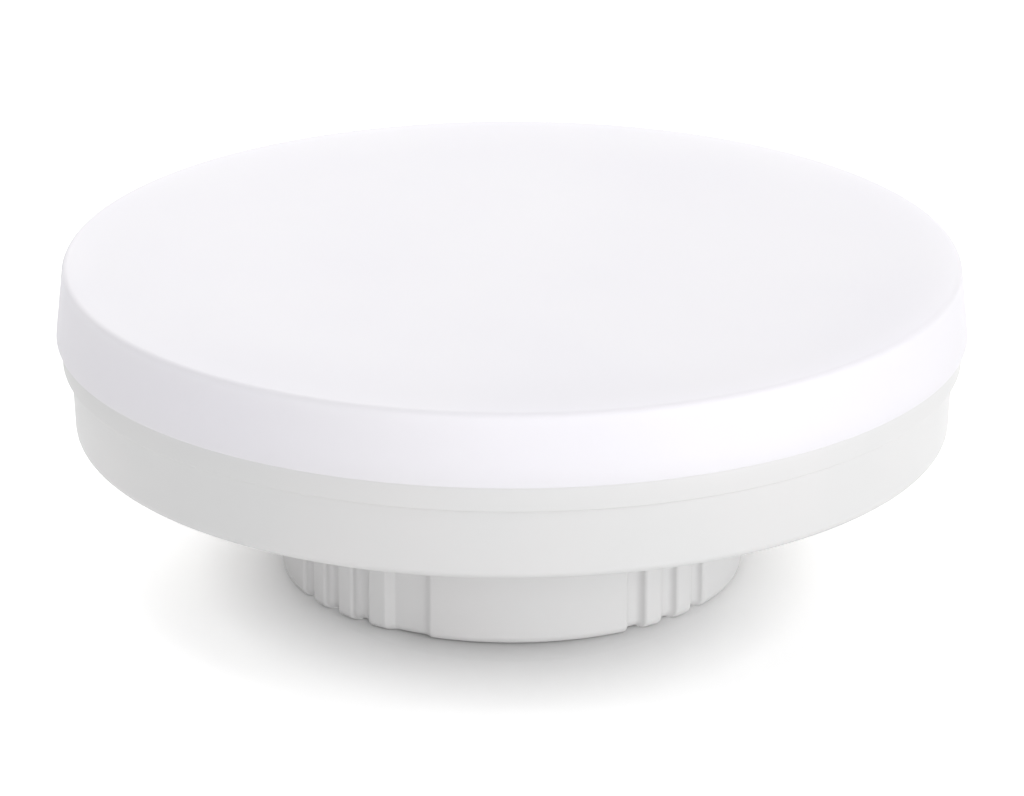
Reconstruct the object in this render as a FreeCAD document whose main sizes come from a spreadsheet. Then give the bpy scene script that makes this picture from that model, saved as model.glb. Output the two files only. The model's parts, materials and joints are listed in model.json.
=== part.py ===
import FreeCAD, Part
import math
import os
import re
import Sketcher
from FreeCAD import Placement, Rotation, Vector

# Flat disc lamp on a round boss, with two contact pins beside the boss.
# The lamp stands upright on the boss: the origin is the centre of the boss's foot,
# +Z points up through the opal cover, and -Y is the front.

# Driving sizes in millimetres and degrees: name, value, what it is.
SIZES = [
    ("lamp_radius", 37.5, "cover skirt, outer radius at the seam"),
    ("boss_height", 12.3, "foot of the boss to the underside of the disc"),
    ("casing_depth", 8.3, "underside of the disc to the seam"),
    ("cover_depth", 6.6, "seam to the crown of the cover"),
    # opal cover
    ("skirt_draft", 0.6, "how far the skirt leans in from the seam to the shoulder"),
    ("shoulder_radius", 0.6, "rounding between the skirt and the face"),
    ("border_width", 8.5, "width of the face's border, which curves down to the shoulder"),
    ("border_drop", 0.5, "how far the border curves down"),
    ("dome_rise", 0.2, "rise of the face from the border to the centre"),
    ("ceiling_rounding", 0.8, "rounding inside the cover between its face and its skirt"),
    ("cover_wall", 1.5, "wall of the cover"),
    ("spigot_depth", 1.9, "snap ring below the seam"),
    ("spigot_wall", 1.2, "wall of the snap ring"),
    ("spigot_gap", 0.1, "running gap round the snap ring"),
    ("bead_reach", 0.2, "how far the snap bead stands out"),
    ("bead_drop", 1.1, "seam down to the middle of the snap bead"),
    # moulded housing
    ("skirt_overhang", 0.5, "cover skirt past the band below it"),
    ("band_depth", 2.2, "seam down to the step line"),
    ("band_wall", 1.7, "wall of the band"),
    ("step_width", 0.7, "step in from the band to the wall below it"),
    ("wall_draft", 0.3, "how far the wall leans in down to the underside"),
    ("floor_wall", 1.8, "ring-shaped floor of the disc"),
    ("foot_rounding", 0.8, "rounding under the wall"),
    ("boss_radius", 19.1, "outer radius of the boss"),
    ("boss_wall", 2.7, "wall of the boss between the flutes"),
    ("boss_floor", 1.8, "floor of the boss"),
    ("boss_rounding", 0.8, "rounding at the foot of the boss"),
    # flutes of the boss, angles counted from the front
    ("flute_width", 1.6, "width of a narrow flute"),
    ("flute_depth", 0.8, "depth of a narrow flute"),
    ("flute_corner", 0.45, "rounding of the flute's inner corners"),
    ("flute_pitch_angle", 10.3, "angle from one narrow flute to the next"),
    ("right_group_angle", 42.5, "middle of the right-hand group"),
    ("left_group_angle", 50.9, "middle of the left-hand group"),
    ("flute_lip", 0.3, "rounding of the upright lips"),
    ("recess_depth", 0.45, "depth of the wide flat recess"),
    ("recess_start_angle", 20.4, "front edge of the wide recess"),
    ("recess_angle", 12.4, "angle that the wide recess covers"),
    ("recess_slope_angle", 2.3, "angle over which its far flank slopes out"),
    # contact pins
    ("pin_share", 0.43787, "place of a pin between the boss and the wall, as a share of the way"),
    ("pin_head_radius", 2.5, "head of a contact pin"),
    ("pin_head_length", 2.3, "length of the head"),
    ("pin_neck_radius", 1.6, "neck between the head and the collar"),
    ("pin_neck_length", 1.8, "length of the neck"),
    ("pin_collar_radius", 2.9, "collar against the underside"),
    ("pin_collar_length", 0.7, "thickness of the collar"),
    ("pin_shank_radius", 1.3, "shank through the floor"),
    ("pin_rivet_radius", 2.0, "spread end over the tag"),
    ("pin_rivet_height", 0.6, "height of the spread end"),
    ("pin_rounding", 0.5, "rounding of the head"),
    ("shank_gap", 0.05, "gap round the shank"),
    ("tag_radius", 2.8, "solder tag, ring round the shank"),
    ("tag_thickness", 0.5, "sheet of the solder tag"),
    ("tag_tail", 5.0, "tail of the tag from the pin's axis"),
    ("tag_width", 2.0, "width of the tail"),
    # heat spreader, pad and lamp board
    ("plate_thickness", 1.2, "pressed sheet of the heat spreader"),
    ("plate_gap", 0.15, "gap round the heat spreader"),
    ("plate_rim_gap", 1.3, "ring floor up to the turned-down rim of the heat spreader"),
    ("ledge_width", 0.8, "ledge that carries the heat spreader"),
    ("pad_thickness", 0.3, "soft thermal pad"),
    ("lamp_board_gap", 3.5, "edge of the lamp board to the casing's wall"),
    ("pad_inset", 0.5, "edge of the lamp board past the edge of the pad"),
    ("lamp_board_thickness", 1.0, "thickness of the lamp board"),
    ("wire_hole_gap", 0.3, "gap past the bend of the wires in the middle hole"),
    ("land_height", 0.35, "tinned lands of the lamp board"),
    ("land_length", 2.4, "length of a land"),
    ("land_width", 1.8, "width of a land"),
    ("chip_length", 3.5, "light chip, along the radius"),
    ("chip_width", 2.8, "light chip, across"),
    ("chip_height", 0.7, "light chip, height"),
    ("lens_radius", 1.15, "dish of the light chip"),
    ("lens_depth", 0.15, "depth of the dish"),
    ("outer_ring_share", 0.71, "outer ring of chips, as a share of the lamp board's radius"),
    ("inner_ring_share", 0.39, "inner ring of chips, as a share of the lamp board's radius"),
    ("screw_inset", 3.4, "plate screws in from the edge of the lamp board"),
    ("screw_angle", 30.0, "angle of the first plate screw"),
    ("screw_head_radius", 2.2, "head of a plate screw"),
    ("screw_head_height", 1.4, "height of the head"),
    ("drive_length", 2.4, "cross drive of the screw, over both arms"),
    ("drive_width", 0.55, "width of an arm of the drive"),
    ("drive_depth", 0.7, "depth of the drive"),
    ("screw_shank_radius", 0.95, "core of the screw"),
    ("screw_length", 5.0, "length below the head"),
    ("screw_hole_gap", 0.45, "gap round the screw in the boards"),
    ("post_wall", 1.7, "wall of a screw post"),
    ("thread_gap", 0.05, "gap round the screw's core in its post"),
    ("post_bottom_gap", 0.4, "free depth under the screw"),
    # driver board and what holds it
    ("driver_gap", 0.3, "gap round the driver board"),
    ("driver_thickness", 1.2, "thickness of the driver board"),
    ("driver_drop", 1.5, "ring floor down to the top of the driver board"),
    ("rib_width", 2.0, "supporting rib, width"),
    ("rib_depth", 1.2, "supporting rib, depth inwards"),
    ("rib_angle", 40.0, "angle of the first rib"),
    ("moulded_root", 0.9, "how far ribs, noses and posts run into the wall they grow from"),
    ("nose_reach", 0.7, "snap nose over the driver board"),
    ("nose_height", 0.9, "height of the snap nose"),
    ("nose_edge", 0.3, "upright edge of the snap nose"),
    ("nose_angle", 14.0, "angle that a snap nose covers"),
    ("nose_gap", 0.05, "gap under the snap nose"),
    # parts on the driver board
    ("part_gap", 0.6, "gap between parts on the board"),
    ("stand_off", 0.2, "gap between a part and the board"),
    ("pin_wire", 0.3, "radius of a part's wire"),
    ("wire_hole", 0.45, "radius of its hole"),
    ("wire_rise", 1.0, "wire end above the board"),
    ("can_edge", 0.3, "rounded edge of a capacitor's can"),
    ("can_groove", 0.3, "depth of the groove rolled round a can"),
    ("can_groove_drop", 1.2, "end of the can to the middle of its groove"),
    ("mains_can_room", 1.4, "free height under the input capacitor"),
    ("output_can_room", 1.9, "free height under the output capacitor"),
    ("core_room", 1.0, "free height under the inductor core"),
    ("bobbin_gap", 0.1, "gap round the bobbin and inside its winding"),
    ("bobbin_wall", 0.5, "wall of the bobbin"),
    ("winding_gap", 0.2, "gap between the winding and the core's limbs"),
    ("pin_block_width", 1.6, "block that holds a row of the bobbin's pins"),
    ("film_room", 1.4, "free height under the film capacitor"),
    ("choke_room", 2.9, "free height under the drum choke"),
    ("choke_flange", 1.0, "drum choke, flange thickness"),
    ("varistor_edge", 1.0, "surge disc, rounding of the lacquer"),
    ("fuse_cap", 1.1, "fusible resistor, length of an end cap"),
    ("fuse_waist", 0.15, "fusible resistor, how much thinner it is between the caps"),
    ("lead_bend", 0.8, "bend of a part's wire"),
    ("foot_share", 0.35, "share of a flat part's height that its soldered ends take"),
    ("foot_reach", 0.25, "how far a flat part's soldered ends stand out of it"),
    ("bridge_height", 2.4, "bridge rectifier, height"),
    ("driver_chip_height", 1.5, "driver chip, height"),
    ("diode_height", 2.1, "flyback diode, height"),
    ("resistor_height", 0.6, "chip resistor, height"),
    ("ceramic_height", 1.2, "chip capacitor, height"),
    # wires
    ("insulation_radius", 0.65, "insulated wire, outer radius"),
    ("conductor_radius", 0.3, "bare conductor"),
    ("bare_length", 1.6, "stripped end on a tag or land"),
    ("strip_above_board", 0.6, "stripped length above the driver board"),
    ("wire_bend", 1.5, "bend of an insulated wire"),
    ("mains_wire_inset", 3.1, "mains wire, its hole in from the edge of the driver board"),
    ("lamp_wire_place", 1.6, "lamp wire, distance of its hole from the axis"),
]

# Sizes of the parts across the driver board, as shares of the board's radius.
BOARD_SHARES = [
    ("column_reach", 0.217, "middle of the board to the line beside the lying capacitor"),
    ("mains_can_length", 0.745, "input capacitor, length"),
    ("mains_can_pitch", 0.217, "input capacitor, wire pitch"),
    ("output_can_radius", 0.196, "output capacitor, radius"),
    ("output_can_pitch", 0.155, "output capacitor, wire pitch"),
    ("core_length", 0.621, "inductor core, length"),
    ("core_width", 0.31, "inductor core, width"),
    ("core_limb", 0.087, "outer limbs and back of the core"),
    ("core_pole_radius", 0.093, "round centre pole"),
    ("bobbin_width", 0.56, "bobbin flanges, width"),
    ("bobbin_pin_length", 0.5, "distance between the bobbin's pins along the core"),
    ("bobbin_pin_width", 0.447, "distance between the bobbin's pins across the core"),
    ("film_length", 0.621, "film capacitor, length"),
    ("film_width", 0.273, "film capacitor, width"),
    ("film_pitch", 0.466, "film capacitor, wire pitch"),
    ("choke_radius", 0.186, "drum choke, flange radius"),
    ("choke_neck", 0.093, "drum choke, core radius"),
    ("choke_copper", 0.056, "drum choke, winding thickness"),
    ("choke_pitch", 0.186, "drum choke, wire pitch"),
    ("varistor_radius", 0.217, "surge disc, radius"),
    ("varistor_thickness", 0.211, "surge disc, thickness"),
    ("varistor_pitch", 0.31, "surge disc, wire pitch"),
    ("fuse_radius", 0.068, "fusible resistor, radius"),
    ("fuse_length", 0.348, "fusible resistor, length"),
    ("flat_row", 0.186, "distance between rows of flat parts"),
    ("bridge_length", 0.292, "bridge rectifier, length"),
    ("bridge_width", 0.242, "bridge rectifier, width"),
    ("driver_chip_length", 0.304, "driver chip, length"),
    ("driver_chip_width", 0.242, "driver chip, width"),
    ("diode_length", 0.267, "flyback diode, length"),
    ("diode_width", 0.161, "flyback diode, width"),
    ("small_length", 0.199, "chip resistor or capacitor, length"),
    ("small_width", 0.099, "chip resistor or capacitor, width"),
]

OUTER_CHIPS = 16
INNER_CHIPS = 8
PLATE_SCREWS = 3
RIBS = 4
FLUTES = 3
HALF_TURN_COPIES = 2

# Places nearer than this, in millimetres, are the same place, and a volume that changes
# by less than this, in cubic millimetres, has not changed.
NEAR = 1e-3
TRACE = 1e-6

# Heights and places that follow from the sizes.
PLACES = {
    "under_height": "boss_height",
    "seam_height": "boss_height + casing_depth",
    "lamp_height": "boss_height + casing_depth + cover_depth",
    "step_height": "seam_height - band_depth",
    "band_radius": "lamp_radius - skirt_overhang",
    "wall_top_radius": "band_radius - step_width",
    "wall_foot_radius": "wall_top_radius - wall_draft",
    "band_inner": "band_radius - band_wall",
    "floor_top": "under_height + floor_wall",
    "boss_inner": "boss_radius - boss_wall",
    "spigot_outer": "band_inner - spigot_gap",
    "spigot_inner": "spigot_outer - spigot_wall",
    "spigot_foot": "seam_height - spigot_depth",
    "bead_height": "seam_height - bead_drop",
    "edge_radius": "lamp_radius - skirt_draft",
    "edge_height": "lamp_height - dome_rise - border_drop",
    "border_inner": "edge_radius - border_width",
    "dome_radius": "(border_inner ^ 2 + dome_rise ^ 2) / (2 * dome_rise)",
    "plate_top": "spigot_foot - spigot_gap",
    "plate_under": "plate_top - plate_thickness",
    "plate_radius": "band_inner - plate_gap",
    "casing_inner": "band_inner - ledge_width",
    "plate_rim_foot": "floor_top + plate_rim_gap",
    "plate_rim_outer": "casing_inner - plate_gap",
    "lamp_board_radius": "casing_inner - lamp_board_gap",
    "pad_radius": "lamp_board_radius - pad_inset",
    "outer_ring": "lamp_board_radius * outer_ring_share",
    "inner_ring": "lamp_board_radius * inner_ring_share",
    "screw_circle": "lamp_board_radius - screw_inset",
    "pad_top": "plate_top + pad_thickness",
    "lamp_board_top": "pad_top + lamp_board_thickness",
    "screw_hole": "screw_shank_radius + screw_hole_gap",
    "post_hole": "screw_shank_radius + thread_gap",
    "post_radius": "post_hole + post_wall",
    "post_hole_bottom": "lamp_board_top - screw_length - post_bottom_gap",
    "middle_hole": "lamp_wire_place + wire_bend + wire_hole_gap",
    "pin_place": "boss_radius + pin_share * (wall_foot_radius - boss_radius)",
    "tag_top": "floor_top + tag_thickness",
    "driver_top": "floor_top - driver_drop",
    "driver_seat": "driver_top - driver_thickness",
    "driver_radius": "boss_inner - driver_gap",
    "part_top": "driver_seat - stand_off",
    "part_room": "part_top - boss_floor",
    "mains_can_radius": "(part_room - mains_can_room) / 2",
    "output_can_height": "part_room - output_can_room",
    "core_height": "part_room - core_room",
    "film_height": "part_room - film_room",
    "choke_height": "part_room - choke_room",
    "winding_outer": "core_length / 2 - core_limb - winding_gap",
    "mains_wire_place": "driver_radius - mains_wire_inset",
    # parts hang under the board: middles of their outlines
    "column_line": "-column_reach",
    "mains_can_x": "column_line - part_gap / 2 - mains_can_radius",
    "right_line": "column_line + part_gap / 2",
    "inductor_x": "right_line + core_length / 2",
    "inductor_y": "(part_gap + bobbin_width) / 2",
    "film_x": "right_line + film_length / 2",
    "film_y": "-(part_gap + film_width) / 2",
    "output_can_x": "right_line + output_can_radius",
    "output_can_y": "-part_gap * 1.5 - film_width - output_can_radius",
    "choke_x": "right_line + core_length + part_gap + choke_radius",
    "choke_y": "inductor_y",
    "varistor_x": "right_line + film_length + part_gap + varistor_thickness / 2",
    "varistor_y": "-part_gap - varistor_radius",
    "fuse_start": "output_can_x + output_can_radius + part_gap + pin_wire",
    "fuse_x": "fuse_start + lead_bend + fuse_length / 2",
    "fuse_y": "varistor_y - varistor_radius - part_gap - fuse_radius",
    "fuse_end": "fuse_start + 2 * lead_bend + fuse_length",
    "mains_can_wire_y": "mains_can_length / 2 + lead_bend + pin_wire",
    "diode_y": "(choke_y - choke_pitch / 2 + varistor_y + varistor_pitch / 2) / 2",
}

# Parts soldered flat on the upper side: body length, width and height, and the places
# of their middles, counted from the parts that hang below them.
FLAT_PARTS = {
    "bridge_rectifier": (("bridge_length", "bridge_width", "bridge_height"),
                         [("mains_can_x", "-1.5 * flat_row")]),
    "driver_chip": (("driver_chip_length", "driver_chip_width", "driver_chip_height"),
                    [("mains_can_x + flat_row / 2", "flat_row / 2")]),
    "flyback_diode": (("diode_length", "diode_width", "diode_height"),
                      [("varistor_x - part_gap", "diode_y")]),
    "chip_resistors": (("small_length", "small_width", "resistor_height"),
                       [("film_x", "film_y"), ("film_x", "film_y - flat_row"),
                        ("output_can_x - small_length - part_gap", "output_can_y"),
                        ("inductor_x", "inductor_y")]),
    "chip_capacitors": (("small_length", "small_width", "ceramic_height"),
                        [("inductor_x", "inductor_y + flat_row"),
                         ("column_line", "mains_can_wire_y + flat_row")]),
}

for alias, share, meaning in BOARD_SHARES:
    SIZES.append((alias + "_share", share, meaning + ", as a share of the driver board's radius"))
    PLACES[alias] = f"driver_radius * {alias}_share"

doc = FreeCAD.newDocument("disc_lamp")
sheet = doc.addObject("Spreadsheet::Sheet", "Sizes")
for row, (alias, size, meaning) in enumerate(SIZES, start=1):
    sheet.set(f"A{row}", meaning)
    sheet.set(f"B{row}", str(size))
    sheet.setAlias(f"B{row}", alias)
doc.recompute()

SIZE_NAMES = {alias for alias, size, meaning in SIZES}


def on_sheets(text):
    """The expression with each name replaced by its cell on one of the two sheets."""
    def cell(match):
        name = match.group()
        if name in SIZE_NAMES:
            return "Sizes." + name
        if name in PLACES:
            return "Places." + name
        return name
    return re.sub(r"[a-z][a-z_]+", cell, text)


places = doc.addObject("Spreadsheet::Sheet", "Places")
for row, (alias, formula) in enumerate(PLACES.items(), start=1):
    places.set(f"A{row}", alias.replace("_", " "))
    places.setAlias(f"B{row}", alias)
for row, formula in enumerate(PLACES.values(), start=1):
    own = on_sheets(formula).replace("Places.", "")
    places.set(f"B{row}", "=" + own)
doc.recompute()


def read(text):
    """The number that an expression over the sheets gives now."""
    return float(sheet.evalExpression(on_sheets(str(text))))


def bind(thing, name, text):
    """Ties one property of a document object to the sheets."""
    thing.setExpression(name, on_sheets(str(text)))


def new_body(label):
    body = doc.addObject("PartDesign::Body", label)
    body.Label = label
    body.AllowCompound = True
    return body


def new_sketch(body, name, role, height=None):
    """A sketch on one of the body's own origin planes, raised by an expression."""
    sketch = body.newObject("Sketcher::SketchObject", name)
    plane = [part for part in body.Origin.OriginFeatures if part.Role == role][0]
    sketch.AttachmentSupport = [(plane, "")]
    sketch.MapMode = "FlatFace"
    if height is not None:
        bind(sketch, "AttachmentOffset.Base.z", height)
    return sketch


def pin_point(sketch, edge, end, across, up):
    """Fixes the start (1) or end (2) of an edge, or a circle's centre (3), by two expressions."""
    for kind, text in (("DistanceX", across), ("DistanceY", up)):
        number = sketch.addConstraint(Sketcher.Constraint(kind, -1, 1, edge, end, read(text)))
        bind(sketch, f"Constraints[{number}]", text)


def outline(sketch, points, arcs=None, closed=True):
    """Lines through the points; arcs maps a point's number to the radius of the arc that
    leaves it, positive where the arc's centre lies to the left of the way on."""
    arcs = arcs or {}
    spots = [Vector(read(across), read(up), 0) for across, up in points]
    count = len(points) if closed else len(points) - 1
    first = sketch.GeometryCount
    for number in range(count):
        start, end = spots[number], spots[(number + 1) % len(spots)]
        if number not in arcs:
            sketch.addGeometry(Part.LineSegment(start, end), False)
            continue
        radius = read(arcs[number])
        half = (end - start) * 0.5
        normal = Vector(-half.y, half.x, 0).normalize()
        reach = math.sqrt(max(radius ** 2 - half.Length ** 2, 0.0))
        centre = start + half + normal * math.copysign(reach, radius)
        from_angle = math.atan2(start.y - centre.y, start.x - centre.x)
        to_angle = math.atan2(end.y - centre.y, end.x - centre.x)
        if radius < 0:
            from_angle, to_angle = to_angle, from_angle
        circle = Part.Circle(centre, Vector(0, 0, 1), abs(radius))
        sketch.addGeometry(Part.ArcOfCircle(circle, from_angle, to_angle), False)
    for number in range(count):
        edge = first + number
        turned = number in arcs and read(arcs[number]) < 0
        begin, finish = (2, 1) if turned else (1, 2)
        pin_point(sketch, edge, begin, *points[number])
        pin_point(sketch, edge, finish, *points[(number + 1) % len(points)])
        if number in arcs:
            radius = "abs(" + arcs[number] + ")"
            held = sketch.addConstraint(Sketcher.Constraint("Radius", edge, read(radius)))
            bind(sketch, f"Constraints[{held}]", radius)
    return sketch


def ring(sketch, across, up, radius):
    """One circle with its centre and radius tied to the sheets."""
    centre = Vector(read(across), read(up), 0)
    edge = sketch.addGeometry(Part.Circle(centre, Vector(0, 0, 1), read(radius)), False)
    pin_point(sketch, edge, 3, across, up)
    held = sketch.addConstraint(Sketcher.Constraint("Radius", edge, read(radius)))
    bind(sketch, f"Constraints[{held}]", radius)


def rectangle(sketch, across, up, length, width):
    """One rectangle about its middle."""
    corners = [(f"({across}) {a} ({length}) / 2", f"({up}) {b} ({width}) / 2")
               for a, b in (("-", "-"), ("+", "-"), ("+", "+"), ("-", "+"))]
    outline(sketch, corners)


def finish(body, feature, before):
    """Makes the feature the body's tip and checks that it changed the volume as it should."""
    body.Tip = feature
    doc.recompute()
    after = body.Shape.Volume
    cuts = feature.TypeId in ("PartDesign::Pocket", "PartDesign::Groove")
    if before is not None and ((after >= before - TRACE) if cuts else (after <= before + TRACE)):
        raise RuntimeError(f"{body.Label}: {feature.Name} changes nothing")
    return feature


def feature_on(body, kind, name, sketch):
    doc.recompute()
    before = None if body.Shape.isNull() else body.Shape.Volume
    feature = body.newObject("PartDesign::" + kind, name)
    feature.Profile = sketch
    return feature, before


def revolve(body, name, sketch, kind="Revolution", angle=360.0, axis="V_Axis"):
    feature, before = feature_on(body, kind, name, sketch)
    feature.ReferenceAxis = (sketch, [axis])
    if angle == 360.0:
        feature.Angle = angle
    else:
        bind(feature, "Angle", angle)
        feature.Midplane = True
    return finish(body, feature, before)


def pad(body, name, sketch, length):
    feature, before = feature_on(body, "Pad", name, sketch)
    bind(feature, "Length", length)
    return finish(body, feature, before)


def pocket(body, name, sketch, length=None):
    """Cuts down from the sketch by the length, or right through with none."""
    feature, before = feature_on(body, "Pocket", name, sketch)
    if length is None:
        feature.Type = "ThroughAll"
    else:
        bind(feature, "Length", length)
    return finish(body, feature, before)


def polar(body, name, feature, copies):
    """Repeats a feature evenly round the body's Z axis."""
    before = body.Shape.Volume
    pattern = body.newObject("PartDesign::PolarPattern", name)
    pattern.Originals = [feature]
    axis = [part for part in body.Origin.OriginFeatures if part.Role == "Z_Axis"][0]
    pattern.Axis = (axis, [""])
    pattern.Angle = 360.0
    pattern.Occurrences = copies
    body.Tip = pattern
    doc.recompute()
    if abs(body.Shape.Volume - before) < TRACE:
        raise RuntimeError(f"{body.Label}: {name} changes nothing")
    return pattern


def round_edges(body, name, radius, chosen):
    """Rounds the edges of the body's tip for which chosen(edge) is true."""
    base = body.Tip
    before = body.Shape.Volume
    edges = [f"Edge{number}" for number, edge in enumerate(base.Shape.Edges, start=1)
             if chosen(edge)]
    rounding = body.newObject("PartDesign::Fillet", name)
    rounding.Base = (base, edges)
    bind(rounding, "Radius", radius)
    body.Tip = rounding
    doc.recompute()
    if before - body.Shape.Volume < TRACE:
        raise RuntimeError(f"{body.Label}: {name} rounds nothing")


def place(body, across="0", along="0", up="0", turn=0.0):
    """Sets a body's place by expressions, and its turn about Z."""
    body.Placement = Placement(Vector(), Rotation(Vector(0, 0, 1), turn))
    for name, text in (("x", across), ("y", along), ("z", up)):
        bind(body, f"Placement.Base.{name}", text)


def polar_point(radius, angle):
    """A point on a circle, its angle counted from the front (-Y) towards +X."""
    return f"({radius}) * sin({angle})", f"-({radius}) * cos({angle})"


def wire_path(body, name, role, points, bend, radius, height=None):
    """Carries a round wire along straight runs joined by quarter-turn bends."""
    spine = new_sketch(body, name + "_way", role, height)
    spots = []
    arcs = {}
    for number, (across, up) in enumerate(points):
        if number in (0, len(points) - 1):
            spots.append((across, up))
            continue
        here = (read(across), read(up))
        before = tuple(read(text) for text in points[number - 1])
        after = tuple(read(text) for text in points[number + 1])
        way_in = [(now > then) - (now < then) for now, then in zip(here, before)]
        way_out = [(then > now) - (then < now) for now, then in zip(here, after)]
        turn = way_in[0] * way_out[1] - way_in[1] * way_out[0]
        arcs[len(spots)] = bend if turn > 0 else f"-({bend})"
        for way in ([-step for step in way_in], way_out):
            spots.append((f"({across}) + {way[0]} * ({bend})", f"({up}) + {way[1]} * ({bend})"))
    outline(spine, spots, arcs, closed=False)
    doc.recompute()
    disc = body.newObject("Sketcher::SketchObject", name + "_section")
    disc.AttachmentSupport = [(spine, "Edge1")]
    disc.MapMode = "NormalToEdge"
    doc.recompute()
    edge = disc.addGeometry(Part.Circle(Vector(), Vector(0, 0, 1), read(radius)), False)
    disc.addConstraint(Sketcher.Constraint("Coincident", edge, 3, -1, 1))
    held = disc.addConstraint(Sketcher.Constraint("Radius", edge, read(radius)))
    bind(disc, f"Constraints[{held}]", radius)
    doc.recompute()
    before = None if body.Shape.isNull() else body.Shape.Volume
    pipe = body.newObject("PartDesign::AdditivePipe", name)
    pipe.Profile = disc
    pipe.Spine = (spine, [f"Edge{number + 1}" for number in range(spine.GeometryCount)])
    return finish(body, pipe, before)


def make_housing():
    """Moulded shell: band, wall, ring floor and the fluted boss, open upwards."""
    body = new_body("housing")
    section = new_sketch(body, "housing_section", "XZ_Plane")
    groove_reach = "bead_reach + spigot_gap"
    points = [
        ("0", "0"),
        ("boss_radius - boss_rounding", "0"),
        ("boss_radius", "boss_rounding"),
        ("boss_radius", "under_height"),
        ("wall_foot_radius - foot_rounding", "under_height"),
        ("wall_foot_radius", "under_height + foot_rounding"),
        ("wall_top_radius", "step_height"),
        ("band_radius", "step_height"),
        ("band_radius", "seam_height"),
        ("band_inner", "seam_height"),
        ("band_inner", f"bead_height + {groove_reach}"),
        (f"band_inner + {groove_reach}", "bead_height"),
        ("band_inner", f"bead_height - ({groove_reach})"),
        ("band_inner", "plate_under"),
        ("casing_inner", "plate_under"),
        ("casing_inner", "floor_top"),
        ("boss_inner", "floor_top"),
        ("boss_inner", "boss_floor"),
        ("0", "boss_floor"),
    ]
    outline(section, points, {1: "boss_rounding", 4: "foot_rounding"})
    revolve(body, "housing_shell", section)
    cut_flutes(body)
    add_posts(body)
    add_ribs(body)
    add_noses(body)
    pins = new_sketch(body, "pin_holes_plan", "XY_Plane", "floor_top")
    for side in ("pin_place", "-pin_place"):
        ring(pins, side, "0", "pin_shank_radius + shank_gap")
    pocket(body, "pin_holes", pins, "floor_wall")
    return body


def flute(sketch, angle):
    """One narrow flute across the boss's wall, straight sides and rounded inner corners."""
    sine, cosine = f"sin({angle})", f"cos({angle})"

    def turned(side, reach):
        return (f"({reach}) * {sine} + ({side}) * {cosine}",
                f"-({reach}) * {cosine} + ({side}) * {sine}")

    half = "flute_width / 2"
    floor = "boss_radius - flute_depth"
    outside = "boss_radius + flute_depth"
    points = [turned(f"-{half}", outside),
              turned(f"-{half}", f"{floor} + flute_corner"),
              turned(f"-{half} + flute_corner", floor),
              turned(f"{half} - flute_corner", floor),
              turned(half, f"{floor} + flute_corner"),
              turned(half, outside)]
    outline(sketch, points, {1: "-flute_corner", 3: "-flute_corner"})


def cut_flutes(body):
    """Two groups of narrow flutes and a wide recess, the same on both sides of the boss."""
    middle = (FLUTES - 1) / 2
    groups = {"right": "right_group_angle + {} * flute_pitch_angle",
              "left": "-left_group_angle + {} * flute_pitch_angle"}
    for side, angle in groups.items():
        plan = new_sketch(body, f"{side}_flutes_plan", "XY_Plane", "under_height")
        for number in range(FLUTES):
            flute(plan, angle.format(number - middle))
        cut = pocket(body, f"{side}_flute_cut", plan)
        polar(body, f"{side}_flutes_both", cut, HALF_TURN_COPIES)
    plan = new_sketch(body, "recess_plan", "XY_Plane", "under_height")
    start = "-recess_start_angle"
    end = "-recess_start_angle - recess_angle"
    inner = "boss_radius - recess_depth"
    outer = "boss_radius + recess_depth"
    points = [polar_point(outer, start), polar_point(inner, start),
              polar_point(inner, f"{end} + recess_slope_angle"), polar_point("boss_radius", end),
              polar_point(outer, end)]
    outline(plan, points, {1: f"-({inner})", 4: outer})
    cut = pocket(body, "recess_cut", plan)
    polar(body, "recess_both", cut, HALF_TURN_COPIES)
    round_lips(body)


def round_lips(body):
    """Rounds the upright edges where the flutes and recesses meet the round of the boss."""
    radius, least = read("boss_radius"), read("boss_height") / 2

    def is_lip(edge):
        ends = [vertex.Point for vertex in edge.Vertexes]
        return (len(ends) == 2 and abs(ends[0].x - ends[1].x) < NEAR
                and abs(ends[0].y - ends[1].y) < NEAR and abs(ends[0].z - ends[1].z) > least
                and abs(math.hypot(ends[0].x, ends[0].y) - radius) < NEAR)

    round_edges(body, "flute_lips", "flute_lip", is_lip)


def screw_angles(count):
    return [f"screw_angle + {number * 360 / count}" for number in range(count)]


def screw_spot(angle):
    return f"screw_circle * cos({angle})", f"screw_circle * sin({angle})"


def add_posts(body):
    """Three hollow posts on the ring floor for the plate's screws."""
    plan = new_sketch(body, "posts_plan", "XY_Plane", "floor_top - moulded_root")
    holes = new_sketch(body, "post_holes_plan", "XY_Plane", "plate_under")
    for angle in screw_angles(PLATE_SCREWS):
        ring(plan, *screw_spot(angle), "post_radius")
        ring(holes, *screw_spot(angle), "post_hole")
    pad(body, "posts", plan, "plate_under - floor_top + moulded_root")
    pocket(body, "post_holes", holes, "plate_under - post_hole_bottom")


def add_ribs(body):
    """Four ribs up the boss's inner wall, which the driver board rests on."""
    plan = new_sketch(body, "rib_plan", "XY_Plane", "boss_floor - moulded_root")
    root = "boss_inner + moulded_root"
    for number in range(RIBS):
        angle = f"(rib_angle + {number * 360 / RIBS})"
        corners = []
        for reach, side in (("boss_inner - rib_depth", -1), (root, -1), (root, 1),
                            ("boss_inner - rib_depth", 1)):
            half = f"{side} * rib_width / 2"
            corners.append((f"({reach}) * cos({angle}) - ({half}) * sin({angle})",
                            f"({reach}) * sin({angle}) + ({half}) * cos({angle})"))
        outline(plan, corners)
    pad(body, "ribs", plan, "driver_seat - boss_floor + moulded_root")


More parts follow.
